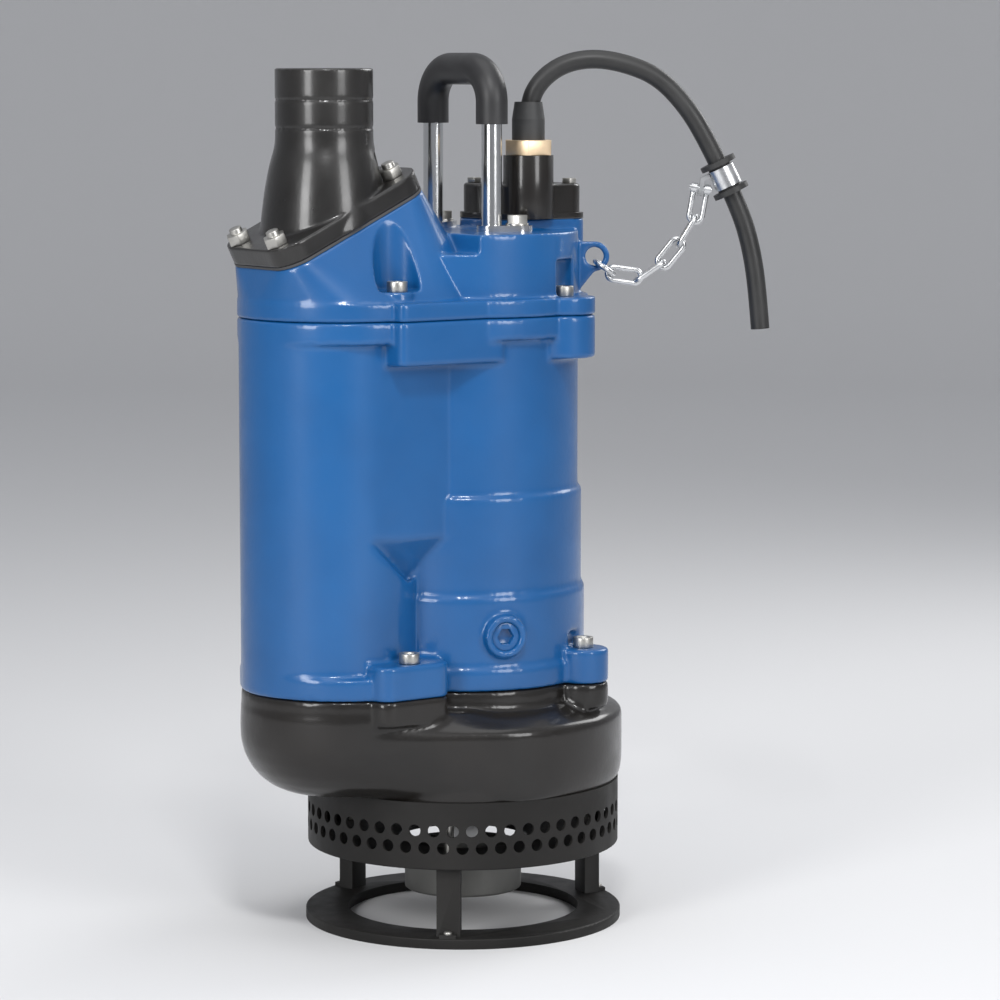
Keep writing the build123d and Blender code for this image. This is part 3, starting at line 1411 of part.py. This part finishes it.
with BuildPart() as head_cover_bolts:
    with BuildSketch(Plane.XY.offset(head_top)):
        with Locations((head_x, 0)):
            with Locations(*head_bolts):
                RegularPolygon(head_bolt_r * 1.75, 6, major_radius=False)
    extrude(amount=head_bolt_r * 1.4)
    with BuildSketch(Plane.XY.offset(head_top)):
        with Locations((head_x, 0)):
            with Locations(*head_bolts):
                Circle(head_bolt_r)
    extrude(amount=-head_height - head_gasket - head_bolt_grip)
head_cover_bolts.part.label = "head_cover_bolts"
export_step(head_cover_bolts.part, "parts/head_cover_bolts.step")

with BuildPart() as gland_packing:
    with BuildSketch(Plane.XY.offset(gland_top - gland_thread_depth - packing_height)):
        with Locations((gland_place.X, gland_place.Y)):
            Circle(gland_thread_r - slip)
            Circle(cable_r + slip, mode=Mode.SUBTRACT)
    extrude(amount=packing_height)
gland_packing.part.label = "gland_packing"
export_step(gland_packing.part, "parts/gland_packing.step")

with BuildPart() as gland_nut:
    with BuildSketch(Plane.XY.offset(gland_top)):
        with Locations((gland_place.X, gland_place.Y)):
            RegularPolygon(gland_nut_flats / 2, 6, major_radius=False, rotation=cable_plane_angle + 30)
    extrude(amount=gland_nut_height)
    with BuildSketch(Plane.XY.offset(gland_top)):
        with Locations((gland_place.X, gland_place.Y)):
            Circle(gland_thread_r)
    extrude(amount=-gland_thread_depth)
    with BuildSketch(Plane.XY.offset(nut_top)):
        with Locations((gland_place.X, gland_place.Y)):
            Circle(cable_r + slip)
    extrude(amount=-gland_nut_height - gland_thread_depth, mode=Mode.SUBTRACT)
gland_nut.part.label = "gland_nut"
export_step(gland_nut.part, "parts/gland_nut.step")

boot_axis = Axis((gland_place.X, gland_place.Y, 0), (0, 0, 1))
with BuildPart() as cable_boot:
    with BuildSketch(Plane(origin=(gland_place.X, gland_place.Y, 0), x_dir=(1, 0, 0), z_dir=(0, -1, 0))):
        with BuildLine():
            Polyline(
                (cable_r + slip, nut_top),
                (boot_r, nut_top),
                (boot_r, nut_top + boot_height * 0.55),
                (boot_top_r, nut_top + boot_height),
                (cable_r + boot_flare, nut_top + boot_height),
                (cable_r + slip, nut_top + boot_height * 0.45),
                close=True,
            )
        make_face()
    revolve(axis=boot_axis)
cable_boot.part.label = "cable_boot"
export_step(cable_boot.part, "parts/cable_boot.step")

with BuildPart() as cable_gland_end:
    with BuildSketch(Plane.XY.offset(head_bottom + head_wall + 1)):
        with Locations((gland_place.X, gland_place.Y)):
            Circle(cable_r)
    extrude(amount=cable_route[0][1] - head_bottom - head_wall - 1)
cable_gland_end.part.label = "cable_gland_end"
export_step(cable_gland_end.part, "parts/cable_gland_end.step")

# Free cable: straight runs joined by arcs as large as the shorter run beside each allows
cable_bends = []
for before, corner, after in zip(cable_route, cable_route[1:], cable_route[2:]):
    run_in = Vector(corner[0] - before[0], corner[1] - before[1])
    run_out = Vector(after[0] - corner[0], after[1] - corner[1])
    half_turn = math.radians(run_in.get_angle(run_out) / 2)
    cable_bends.append(0.45 * min(run_in.length, run_out.length) / math.tan(half_turn))
print("cable bend radii, mm:", [round(bend, 1) for bend in cable_bends])
with BuildPart() as power_cable:
    with BuildLine(cable_plane) as cable_path:
        FilletPolyline(*cable_route, radius=cable_bends)
    with BuildSketch(Plane(origin=cable_path.wires()[0] @ 0, z_dir=cable_path.wires()[0] % 0)):
        Circle(cable_r)
    sweep(path=cable_path.wires()[0])
power_cable.part.label = "power_cable"
export_step(power_cable.part, "parts/power_cable.step")
cable_length = cable_path.wires()[0].length
cable_volume = math.pi * cable_r**2 * cable_length
print("cable length, mm:", round(cable_length, 1), "volume share:", round(power_cable.part.volume / cable_volume, 4))

# Clamp on the cable: a rubber spool with a steel band and a strap for the chain
clamp_from = in_cable_plane(*cable_route[clamp_run])
clamp_to = in_cable_plane(*cable_route[clamp_run + 1])
clamp_centre = (clamp_from + clamp_to) / 2
clamp_along = (clamp_to - clamp_from).normalized()
clamp_plane = Plane(origin=clamp_centre, x_dir=cable_plane.z_dir, z_dir=clamp_along)
with BuildPart() as clamp_sleeve:
    with BuildSketch(clamp_plane):
        Circle(clamp_sleeve_r)
    extrude(amount=clamp_sleeve_length / 2, both=True)
    for side in (-1, 1):
        with BuildSketch(clamp_plane.offset(side * (clamp_sleeve_length / 2 - clamp_collar / 2))):
            Circle(clamp_collar_r)
        extrude(amount=clamp_collar / 2, both=True)
    with BuildSketch(clamp_plane):
        Circle(cable_r + seat_gap)
    extrude(amount=clamp_sleeve_length, both=True, mode=Mode.SUBTRACT)
clamp_sleeve.part.label = "clamp_sleeve"
export_step(clamp_sleeve.part, "parts/clamp_sleeve.step")

# Chain line in the cable's upright plane: each turn is the link's slope from the level
def chain_step(turn, length):
    """Offset of a length along a slope, as reach and height."""
    return Vector(length * math.cos(math.radians(turn)), length * math.sin(math.radians(turn)))


def chain_plane(middle, turn, face_on):
    """Plane of a link at a point of the chain line, either face on or edge on to the cable's plane."""
    along = in_cable_plane(math.cos(math.radians(turn)), math.sin(math.radians(turn)))
    across = in_cable_plane(-math.sin(math.radians(turn)), math.cos(math.radians(turn)))
    return Plane(
        origin=in_cable_plane(middle.X, middle.Y),
        x_dir=along,
        z_dir=cable_plane.z_dir if face_on else across,
    )


link_overlap = 2 * chain_wire_r + seat_gap
link_length = chain_pitch + link_overlap
ring_near = Vector(eye_reach, eye_height) + chain_step(chain_hang_turn, eye_hole_r - chain_wire_r - eye_play)
ring_middle = ring_near + chain_step(chain_ring_turn, chain_ring_r)
knot = ring_near + chain_step(chain_ring_turn, 2 * chain_ring_r)
with BuildPart() as chain_links:
    with Locations(chain_plane(ring_middle, chain_ring_turn, False)):
        Torus(chain_ring_r, chain_wire_r)
    for number, turn in enumerate(chain_link_turns):
        middle = knot + chain_step(turn, link_length / 2 - link_overlap)
        link_plane = chain_plane(middle, turn, number % 2 == 0)
        add(wire_stadium(link_length, chain_link_width, chain_wire_r, link_plane))
        knot = knot + chain_step(turn, chain_pitch)
chain_links.part.label = "chain_links"
export_step(chain_links.part, "parts/chain_links.step")

# Shackle from the last link to the clamp's strap
clamp_middle = Vector(
    (cable_route[clamp_run][0] + cable_route[clamp_run + 1][0]) / 2,
    (cable_route[clamp_run][1] + cable_route[clamp_run + 1][1]) / 2,
)
cable_turn = math.degrees(
    math.atan2(
        cable_route[clamp_run + 1][1] - cable_route[clamp_run][1],
        cable_route[clamp_run + 1][0] - cable_route[clamp_run][0],
    )
)
pin_middle = clamp_middle + chain_step(cable_turn - 90, clamp_eye_reach)
shackle_turn = math.degrees(math.atan2(pin_middle.Y - knot.Y, pin_middle.X - knot.X))
arm_offset = shackle_width / 2 - chain_wire_r
bow_start = knot - chain_step(shackle_turn, link_overlap)
arm_start = bow_start + chain_step(shackle_turn, arm_offset)
side_step = chain_step(shackle_turn + 90, arm_offset)
bow_route = (
    pin_middle - side_step,
    arm_start - side_step,
    bow_start,
    arm_start + side_step,
    pin_middle + side_step,
)
bow_points = [tuple(point)[:2] for point in bow_route]
with BuildPart() as chain_shackle:
    with BuildLine(cable_plane) as bow:
        Line(bow_points[0], bow_points[1])
        ThreePointArc(bow_points[1], bow_points[2], bow_points[3])
        Line(bow_points[3], bow_points[4])
    with BuildSketch(Plane(origin=bow.wires()[0] @ 0, z_dir=bow.wires()[0] % 0)):
        Circle(chain_wire_r)
    sweep(path=bow.wires()[0])
    pin_plane = chain_plane(pin_middle, shackle_turn, False)
    for side in (-1, 1):
        with BuildSketch(pin_plane.offset(side * arm_offset)):
            Circle(shackle_ear_r)
        extrude(amount=chain_wire_r, both=True)
    with BuildSketch(pin_plane):
        Circle(shackle_pin_r)
    extrude(amount=arm_offset + chain_wire_r + 1.5, both=True)
chain_shackle.part.label = "chain_shackle"
export_step(chain_shackle.part, "parts/chain_shackle.step")

strap_top = pin_middle + chain_step(shackle_turn, clamp_strap_rise)
strap_foot = strap_top + chain_step(cable_turn + 90, clamp_strap_foot)
strap_end = pin_middle - chain_step(shackle_turn, clamp_strap_tail)
with BuildPart() as clamp_band:
    with BuildSketch(clamp_plane):
        Circle(clamp_sleeve_r + slip + clamp_band_wall)
    extrude(amount=clamp_band_width / 2, both=True)
    with BuildSketch(cable_plane):
        with BuildLine():
            Polyline(tuple(strap_foot)[:2], tuple(strap_top)[:2], tuple(strap_end)[:2])
        trace(line_width=clamp_strap)
    extrude(amount=clamp_strap_half_width, both=True)
    with BuildSketch(clamp_plane):
        Circle(clamp_sleeve_r + slip)
    extrude(amount=clamp_band_width, both=True, mode=Mode.SUBTRACT)
    with BuildSketch(pin_plane):
        Circle(clamp_eye_hole_r)
    extrude(amount=clamp_strap, both=True, mode=Mode.SUBTRACT)
clamp_band.part.label = "clamp_band"
export_step(clamp_band.part, "parts/clamp_band.step")
swing_from = in_cable_plane(ring_near.X, ring_near.Y)
swing_to = in_cable_plane(pin_middle.X, pin_middle.Y)
print("chain swing from", tuple(swing_from), "to", tuple(swing_to))
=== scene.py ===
import json
import math

import bmesh
import bpy
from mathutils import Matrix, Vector


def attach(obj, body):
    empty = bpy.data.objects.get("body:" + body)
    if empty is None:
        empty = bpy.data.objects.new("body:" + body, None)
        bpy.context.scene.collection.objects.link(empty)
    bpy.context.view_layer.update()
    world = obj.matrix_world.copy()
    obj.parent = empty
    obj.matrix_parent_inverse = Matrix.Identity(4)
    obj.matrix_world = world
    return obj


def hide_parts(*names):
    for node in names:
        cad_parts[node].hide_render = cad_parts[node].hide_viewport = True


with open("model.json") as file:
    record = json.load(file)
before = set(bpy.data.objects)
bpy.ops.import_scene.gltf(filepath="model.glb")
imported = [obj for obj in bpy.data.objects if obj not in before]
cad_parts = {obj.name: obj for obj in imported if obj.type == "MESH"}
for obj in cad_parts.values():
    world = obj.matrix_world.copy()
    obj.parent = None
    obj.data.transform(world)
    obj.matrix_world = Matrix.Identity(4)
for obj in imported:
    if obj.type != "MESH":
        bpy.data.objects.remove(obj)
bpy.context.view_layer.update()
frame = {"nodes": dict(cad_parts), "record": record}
scene = bpy.context.scene
scene.view_settings.view_transform = "Standard"
nodes = frame["nodes"]
record = frame["record"]
node_slot = {part["node"]: part["material_slot"] for part in record["subparts"]}
body_of = {node: body for body, members in record["behaviour"]["bodies"].items() for node in members}

# The camera looks across the cable's upright plane, so both are turned alike about the pump's axis
view_turn = math.radians(-35)

# Middle range of a noise's values, which the roughness runs over
noise_low = 0.3
noise_high = 0.7


def link(obj):
    scene.collection.objects.link(obj)
    return obj


def mesh_object(name, mesh_data):
    return link(bpy.data.objects.new(name, mesh_data))


def shade(mesh_data, angle=None):
    """Smooth shading, with sharp edges kept above the angle if one is given."""
    mesh_data.polygons.foreach_set("use_smooth", [True] * len(mesh_data.polygons))
    if angle is not None:
        mesh_data.set_sharp_from_angle(angle=angle)


def scaled(colour, factor):
    return tuple(channel * factor for channel in colour)


# Materials


class Material:
    """Node material: one Principled shader, and the noises that feed it."""

    def __init__(self, name, colour, roughness, metallic=0.0, **sockets):
        self.material = bpy.data.materials.new(name)
        self.material.use_nodes = True
        self.tree = self.material.node_tree
        self.shader = self.tree.nodes["Principled BSDF"]
        self.shader.inputs["Base Color"].default_value = (*colour, 1)
        self.shader.inputs["Roughness"].default_value = roughness
        self.shader.inputs["Metallic"].default_value = metallic
        for key, value in sockets.items():
            self.shader.inputs[key.replace("_", " ")].default_value = value
        self.coords = self.node("ShaderNodeTexCoord").outputs["Object"]
        self.bump = None

    def node(self, kind, **values):
        made = self.tree.nodes.new(kind)
        for key, value in values.items():
            made.inputs[key.replace("_", " ")].default_value = value
        return made

    def join(self, source, target):
        self.tree.links.new(source, target)

    def noise(self, scale, detail=4.0, roughness=0.55, stretch=None):
        source = self.coords
        if stretch:
            mapping = self.node("ShaderNodeMapping", Scale=stretch)
            self.join(self.coords, mapping.inputs["Vector"])
            source = mapping.outputs["Vector"]
        made = self.node("ShaderNodeTexNoise", Scale=scale, Detail=detail, Roughness=roughness)
        self.join(source, made.inputs["Vector"])
        return made.outputs["Fac"]

    def ramp(self, source, *stops):
        """Colour that runs from the first stop to the second as the source rises."""
        made = self.node("ShaderNodeValToRGB")
        for element, (place, colour) in zip(made.color_ramp.elements, stops):
            element.position = place
            element.color = (*colour, 1)
        self.join(source, made.inputs["Fac"])
        return made.outputs["Color"]

    def spread(self, source, low, high):
        """Value that runs from low to high over the middle range of a noise."""
        made = self.node("ShaderNodeMapRange", From_Min=noise_low, From_Max=noise_high, To_Min=low, To_Max=high)
        self.join(source, made.inputs["Value"])
        return made.outputs["Result"]

    def paint(self, colour, roughness):
        self.join(colour, self.shader.inputs["Base Color"])
        self.join(roughness, self.shader.inputs["Roughness"])

    def add_bump(self, source, distance, strength):
        made = self.node("ShaderNodeBump", Distance=distance, Strength=strength)
        self.join(source, made.inputs["Height"])
        if self.bump is not None:
            self.join(self.bump, made.inputs["Normal"])
        self.bump = made.outputs["Normal"]
        self.join(self.bump, self.shader.inputs["Normal"])


def enamel(name, colour, dark, light, roughness, coat, shine):
    """Sprayed enamel over a sand casting, with slow swells and a fine grain."""
    made = Material(name, colour, roughness, Coat_Weight=coat, Coat_Roughness=0.16, Specular_IOR_Level=shine)
    swell = made.noise(9.0, 3.0)
    grain = made.noise(260.0, 3.0, 0.6)
    blotch = made.noise(38.0)
    made.paint(
        made.ramp(swell, (0.32, dark), (0.68, light)),
        made.spread(blotch, roughness - 0.06, roughness + 0.1),
    )
    made.add_bump(swell, 0.0012, 0.35)
    made.add_bump(grain, 0.00022, 0.5)
    return made.material


def steel(name, colour, roughness, stretch=None, bump=0.00005):
    """Bare or plated metal with faint smears, drawn out along one axis where stretch says so."""
    made = Material(name, colour, roughness, 1.0)
    smear = made.noise(60.0, 5.0, 0.6, stretch)
    made.paint(
        made.ramp(smear, (0.3, scaled(colour, 0.82)), (0.7, colour)),
        made.spread(smear, roughness - 0.05, roughness + 0.12),
    )
    made.add_bump(made.noise(420.0, 2.0, 0.5, stretch), bump, 0.4)
    return made.material


def rubber(name, colour, roughness):
    """Moulded rubber or plastic, a little dusty."""
    made = Material(name, colour, roughness, Specular_IOR_Level=0.4)
    smear = made.noise(34.0)
    made.paint(
        made.ramp(smear, (0.3, scaled(colour, 0.8)), (0.75, scaled(colour, 1.35))),
        made.spread(smear, roughness - 0.07, roughness + 0.08),
    )
    made.add_bump(made.noise(320.0, 2.0), 0.00012, 0.5)
    return made.material


blue = enamel(
    "blue_enamel",
    colour=(0.0032, 0.078, 0.243),
    dark=(0.002, 0.068, 0.216),
    light=(0.0044, 0.088, 0.268),
    roughness=0.42,
    coat=0.7,
    shine=0.25,
)
black = enamel(
    "black_casting",
    colour=(0.0075, 0.0064, 0.0055),
    dark=(0.005, 0.0044, 0.0038),
    light=(0.013, 0.011, 0.0095),
    roughness=0.42,
    coat=0.7,
    shine=0.15,
)
black_sheet = enamel(
    "black_sheet",
    colour=(0.014, 0.0135, 0.013),
    dark=(0.01, 0.0095, 0.009),
    light=(0.02, 0.019, 0.018),
    roughness=0.5,
    coat=0.0,
    shine=0.2,
)
coupling_black = enamel(
    "coupling_black",
    colour=(0.008, 0.0077, 0.0074),
    dark=(0.0055, 0.0052, 0.005),
    light=(0.014, 0.013, 0.012),
    roughness=0.33,
    coat=0.5,
    shine=0.35,
)
zinc = steel("zinc_plate", (0.5, 0.49, 0.46), 0.34)
chrome = steel("bright_bar", (0.72, 0.73, 0.74), 0.16, stretch=(1, 1, 0.08))
chain_steel = steel("chain_steel", (0.66, 0.67, 0.68), 0.24)
brass = steel("gland_brass", (0.95, 0.74, 0.5), 0.38)
iron = steel("wear_iron", (0.2, 0.2, 0.19), 0.5, bump=0.0002)
turned = steel("turned_steel", (0.45, 0.45, 0.45), 0.28)
grip_rubber = rubber("grip_rubber", (0.017, 0.017, 0.018), 0.42)
boot_rubber = rubber("boot_rubber", (0.027, 0.0275, 0.028), 0.5)
cable_rubber = rubber("cable_rubber", (0.02, 0.02, 0.02), 0.46)
sleeve_rubber = rubber("sleeve_rubber", (0.022, 0.022, 0.022), 0.55)
gasket = rubber("gasket_sheet", (0.05, 0.05, 0.052), 0.6)
copper = steel("winding_copper", (0.55, 0.22, 0.1), 0.35)
plastic = rubber("moulded_plastic", (0.03, 0.03, 0.03), 0.45)

slot_material = {
    "blue_paint": blue,
    "black_paint": black,
    "strainer_paint": black_sheet,
    "coupling_paint": coupling_black,
    "bright_steel": chrome,
    "zinc_steel": zinc,
    "shaft_steel": turned,
    "bearing_steel": turned,
    "lamination_steel": turned,
    "high_chrome_iron": iron,
    "grey_iron": iron,
    "aluminium": turned,
    "copper": copper,
    "brass": brass,
    "rubber": cable_rubber,
    "grey_rubber": boot_rubber,
    "gasket": gasket,
    "carbide": plastic,
    "thermal_plastic": plastic,
}
# Nodes whose look differs from the rest of their slot
own_material = {
    "handle_grip": grip_rubber,
    "clamp_sleeve": sleeve_rubber,
    "chain_links": chain_steel,
    "chain_shackle": chain_steel,
    "clamp_band": chain_steel,
    "base_stand": black_sheet,
}


def material_of(node):
    return own_material.get(node) or slot_material[node_slot[node]]


for node, obj in nodes.items():
    for holder in obj.material_slots:
        holder.material = material_of(node)
    if not obj.material_slots:
        obj.data.materials.append(material_of(node))

# Cable, on the route of the solid one: distance to the pump's axis and height, in millimetres

route = (
    (52.4, 632.0), (52.4, 651.8), (61.0, 670.2), (79.5, 684.0), (104.0, 688.5), (130.0, 684.0), (155.5, 673.5),
    (178.0, 650.0), (194.8, 621.7), (220.8, 567.7), (229.5, 538.0), (234.5, 506.0), (237.0, 474.5),
)
cable_radius = 0.0075


def in_cable_plane(reach, height):
    """Metre point of the cable's upright plane, from millimetres."""
    return Vector((reach * math.cos(view_turn), reach * math.sin(view_turn), height)) / 1000


cable_data = bpy.data.curves.new("cable", "CURVE")
cable_data.dimensions = "3D"
cable_data.bevel_depth = cable_radius
cable_data.bevel_resolution = 6
cable_data.resolution_u = 16
cable_data.use_fill_caps = True
line = cable_data.splines.new("NURBS")
line.points.add(len(route) - 1)
for point, place in zip(line.points, route):
    point.co = (*in_cable_plane(*place), 1)
line.order_u = 3
line.use_endpoint_u = True
cable = link(bpy.data.objects.new("cable", cable_data))
cable_data.materials.append(cable_rubber)
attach(cable, "pump")
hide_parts("power_cable")

# Pieces with eased edges and castings with soft ones, all sizes in metres

weld_distance = 0.00001
flat_angle = math.radians(1.5)
eased_edge_angle = math.radians(34)
sharp_angle = math.radians(40)
carved_node = "motor_frame"


def weld(mesh_data, flatten=False):
    """Merge the vertices that the CAD mesh splits, and join its flat faces if asked."""
    build = bmesh.new()
    build.from_mesh(mesh_data)
    bmesh.ops.remove_doubles(build, verts=build.verts, dist=weld_distance)
    if flatten:
        bmesh.ops.dissolve_limit(build, angle_limit=flat_angle, verts=build.verts, edges=build.edges)
    build.to_mesh(mesh_data)
    build.free()


def stand_in(copy, node, sharp=None):
    """Fix the modifiers of a node's copy into its mesh, and show the copy for the node."""
    graph = bpy.context.evaluated_depsgraph_get()
    done = bpy.data.meshes.new_from_object(copy.evaluated_get(graph))
    old = copy.data
    copy.modifiers.clear()
    copy.data = done
    bpy.data.meshes.remove(old)
    done.materials.clear()
    done.materials.append(material_of(node))
    shade(done, sharp)
    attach(copy, body_of[node])
    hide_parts(node)


def eased(node, width):
    """A copy of a machined or cut node with a small round along its sharp edges."""
    copy = mesh_object(node + "_eased", nodes[node].data.copy())
    weld(copy.data, flatten=True)
    bevel = copy.modifiers.new("ease", "BEVEL")
    bevel.width = width
    bevel.segments = 2
    bevel.limit_method = "ANGLE"
    bevel.angle_limit = eased_edge_angle
    bevel.use_clamp_overlap = True
    stand_in(copy, node, sharp_angle)


def core_print():
    """The wedge of the mould where the web runs in between lobe and motor, a dark triangle from the front."""
    left = Vector((-0.1357, -0.0700, 0.3221))
    right = Vector((-0.0600, -0.0700, 0.3180))
    deepest = Vector((-0.0840, -0.0473, 0.2822))
    outward = Vector((-0.0208, -0.0313, 0.0053))
    build = bmesh.new()
    for point in (left, right, deepest, left + outward, right + outward, deepest + 2 * outward):
        build.verts.new(point)
    bmesh.ops.convex_hull(build, input=build.verts)
    mesh_data = bpy.data.meshes.new("core_print")
    build.to_mesh(mesh_data)
    build.free()
    return mesh_object("core_print", mesh_data)


def casting(node, voxel, passes):
    """A copy of a cast node whose edges are rounded as a mould leaves them."""
    copy = mesh_object(node + "_cast", nodes[node].data.copy())
    core = None
    if node == carved_node:
        weld(copy.data)
        core = core_print()
        carve = copy.modifiers.new("carve", "BOOLEAN")
        carve.operation = "DIFFERENCE"
        carve.solver = "EXACT"
        carve.object = core
    remesh = copy.modifiers.new("grid", "REMESH")
    remesh.mode = "VOXEL"
    remesh.voxel_size = voxel
    remesh.adaptivity = 0.0
    smooth = copy.modifiers.new("soften", "SMOOTH")
    smooth.factor = 0.5
    smooth.iterations = passes
    stand_in(copy, node)
    if core:
        bpy.data.meshes.remove(core.data)


for node, width in (
    ("base_stand", 0.0006),
    ("head_cover", 0.0008),
    ("gland_nut", 0.0006),
    ("handle_bolts", 0.0004),
    ("head_cover_bolts", 0.0003),
    ("discharge_bolts", 0.0005),
    ("upper_joint_bolts", 0.0006),
    ("lower_joint_bolts", 0.0006),
    ("oil_plug", 0.0004),
    ("discharge_gasket", 0.0003),
):
    eased(node, width)

for node, voxel, passes in (
    ("motor_frame", 0.0016, 13),
    ("upper_casing", 0.0014, 8),
    ("pump_casing", 0.0018, 20),
    ("discharge_coupling", 0.0011, 5),
):
    casting(node, voxel, passes)

# Floor

flat_rings = (0.0, 0.6, 1.2, 2.4, 5.0)
floor_bend = 2.4
wall_height = 4.6
bend_steps = 12
floor_sides = 96
floor_weld = 0.0001


def studio_sweep():
    """A round floor whose rim bends up into a wall, so that no horizon shows from any side."""
    floor_radius = flat_rings[-1]
    profile = [(reach, 0.0) for reach in flat_rings]
    for step in range(1, bend_steps + 1):
        turn = math.radians(90 * step / bend_steps)
        profile.append((floor_radius + floor_bend * math.sin(turn), floor_bend * (1 - math.cos(turn))))
    profile.append((floor_radius + floor_bend, wall_height))
    build = bmesh.new()
    line = [build.verts.new((reach, 0, height)) for reach, height in profile]
    edges = [build.edges.new(pair) for pair in zip(line, line[1:])]
    bmesh.ops.spin(
        build,
        geom=line + edges,
        cent=(0, 0, 0),
        axis=(0, 0, 1),
        angle=math.tau,
        steps=floor_sides,
        use_merge=True,
    )
    bmesh.ops.remove_doubles(build, verts=build.verts, dist=floor_weld)
    bmesh.ops.recalc_face_normals(build, faces=build.faces)
    mesh_data = bpy.data.meshes.new("floor")
    build.to_mesh(mesh_data)
    build.free()
    shade(mesh_data)
    return mesh_object("floor", mesh_data)


floor = studio_sweep()
floor.data.materials.append(Material("floor", (0.66, 0.66, 0.665), 0.8, Specular_IOR_Level=0.1).material)

# Light: a soft surround, two tall boxes, a rim, a top and a small key

world = bpy.data.worlds.new("studio")
scene.world = world
world.use_nodes = True
surround = world.node_tree.nodes["Background"]
surround.inputs["Color"].default_value = (0.93, 0.95, 1.0, 1)
surround.inputs["Strength"].default_value = 0.58


def seen(right, away, up):
    """Metre point from camera-aligned millimetres: right, away from the camera, up."""
    across = right * math.cos(view_turn) - away * math.sin(view_turn)
    along = right * math.sin(view_turn) + away * math.cos(view_turn)
    return Vector((across, along, up)) / 1000


def area_light(name, place, aim_height, watts, width, height=None):
    """Square light, or an upright one where the height is given, aimed at the pump's axis."""
    data = bpy.data.lights.new(name, "AREA")
    data.energy = watts
    data.size = width
    if height:
        data.shape = "RECTANGLE"
        data.size_y = height
    lamp = link(bpy.data.objects.new(name, data))
    lamp.location = place
    lamp.rotation_euler = (Vector((0, 0, aim_height)) - place).to_track_quat("-Z", "Y").to_euler()


area_light("left_box", seen(-1500, -2100, 1150), aim_height=0.4, watts=34, width=0.7, height=1.3)
area_light("right_box", seen(1700, -1900, 1250), aim_height=0.4, watts=30, width=0.8, height=1.3)
area_light("rim", seen(1300, 1300, 1500), aim_height=0.4, watts=16, width=1.0)
area_light("top", seen(0, -200, 2400), aim_height=0.4, watts=12, width=1.6)
area_light("key", seen(60, -1500, 1900), aim_height=0.35, watts=17, width=0.26)

# Camera at the photograph's angle

sensor_width = 36
focal_pixels = 3775
picture_pixels = 1000
camera_drop = math.radians(6.71)

camera_data = bpy.data.cameras.new("camera")
camera_data.sensor_width = sensor_width
camera_data.lens = sensor_width * focal_pixels / picture_pixels
camera_data.clip_end = 50
camera = link(bpy.data.objects.new("camera", camera_data))
camera.location = (-1.6962, -2.4747, 0.690)
camera.rotation_euler = (math.radians(90) - camera_drop, 0, view_turn)
scene.camera = camera
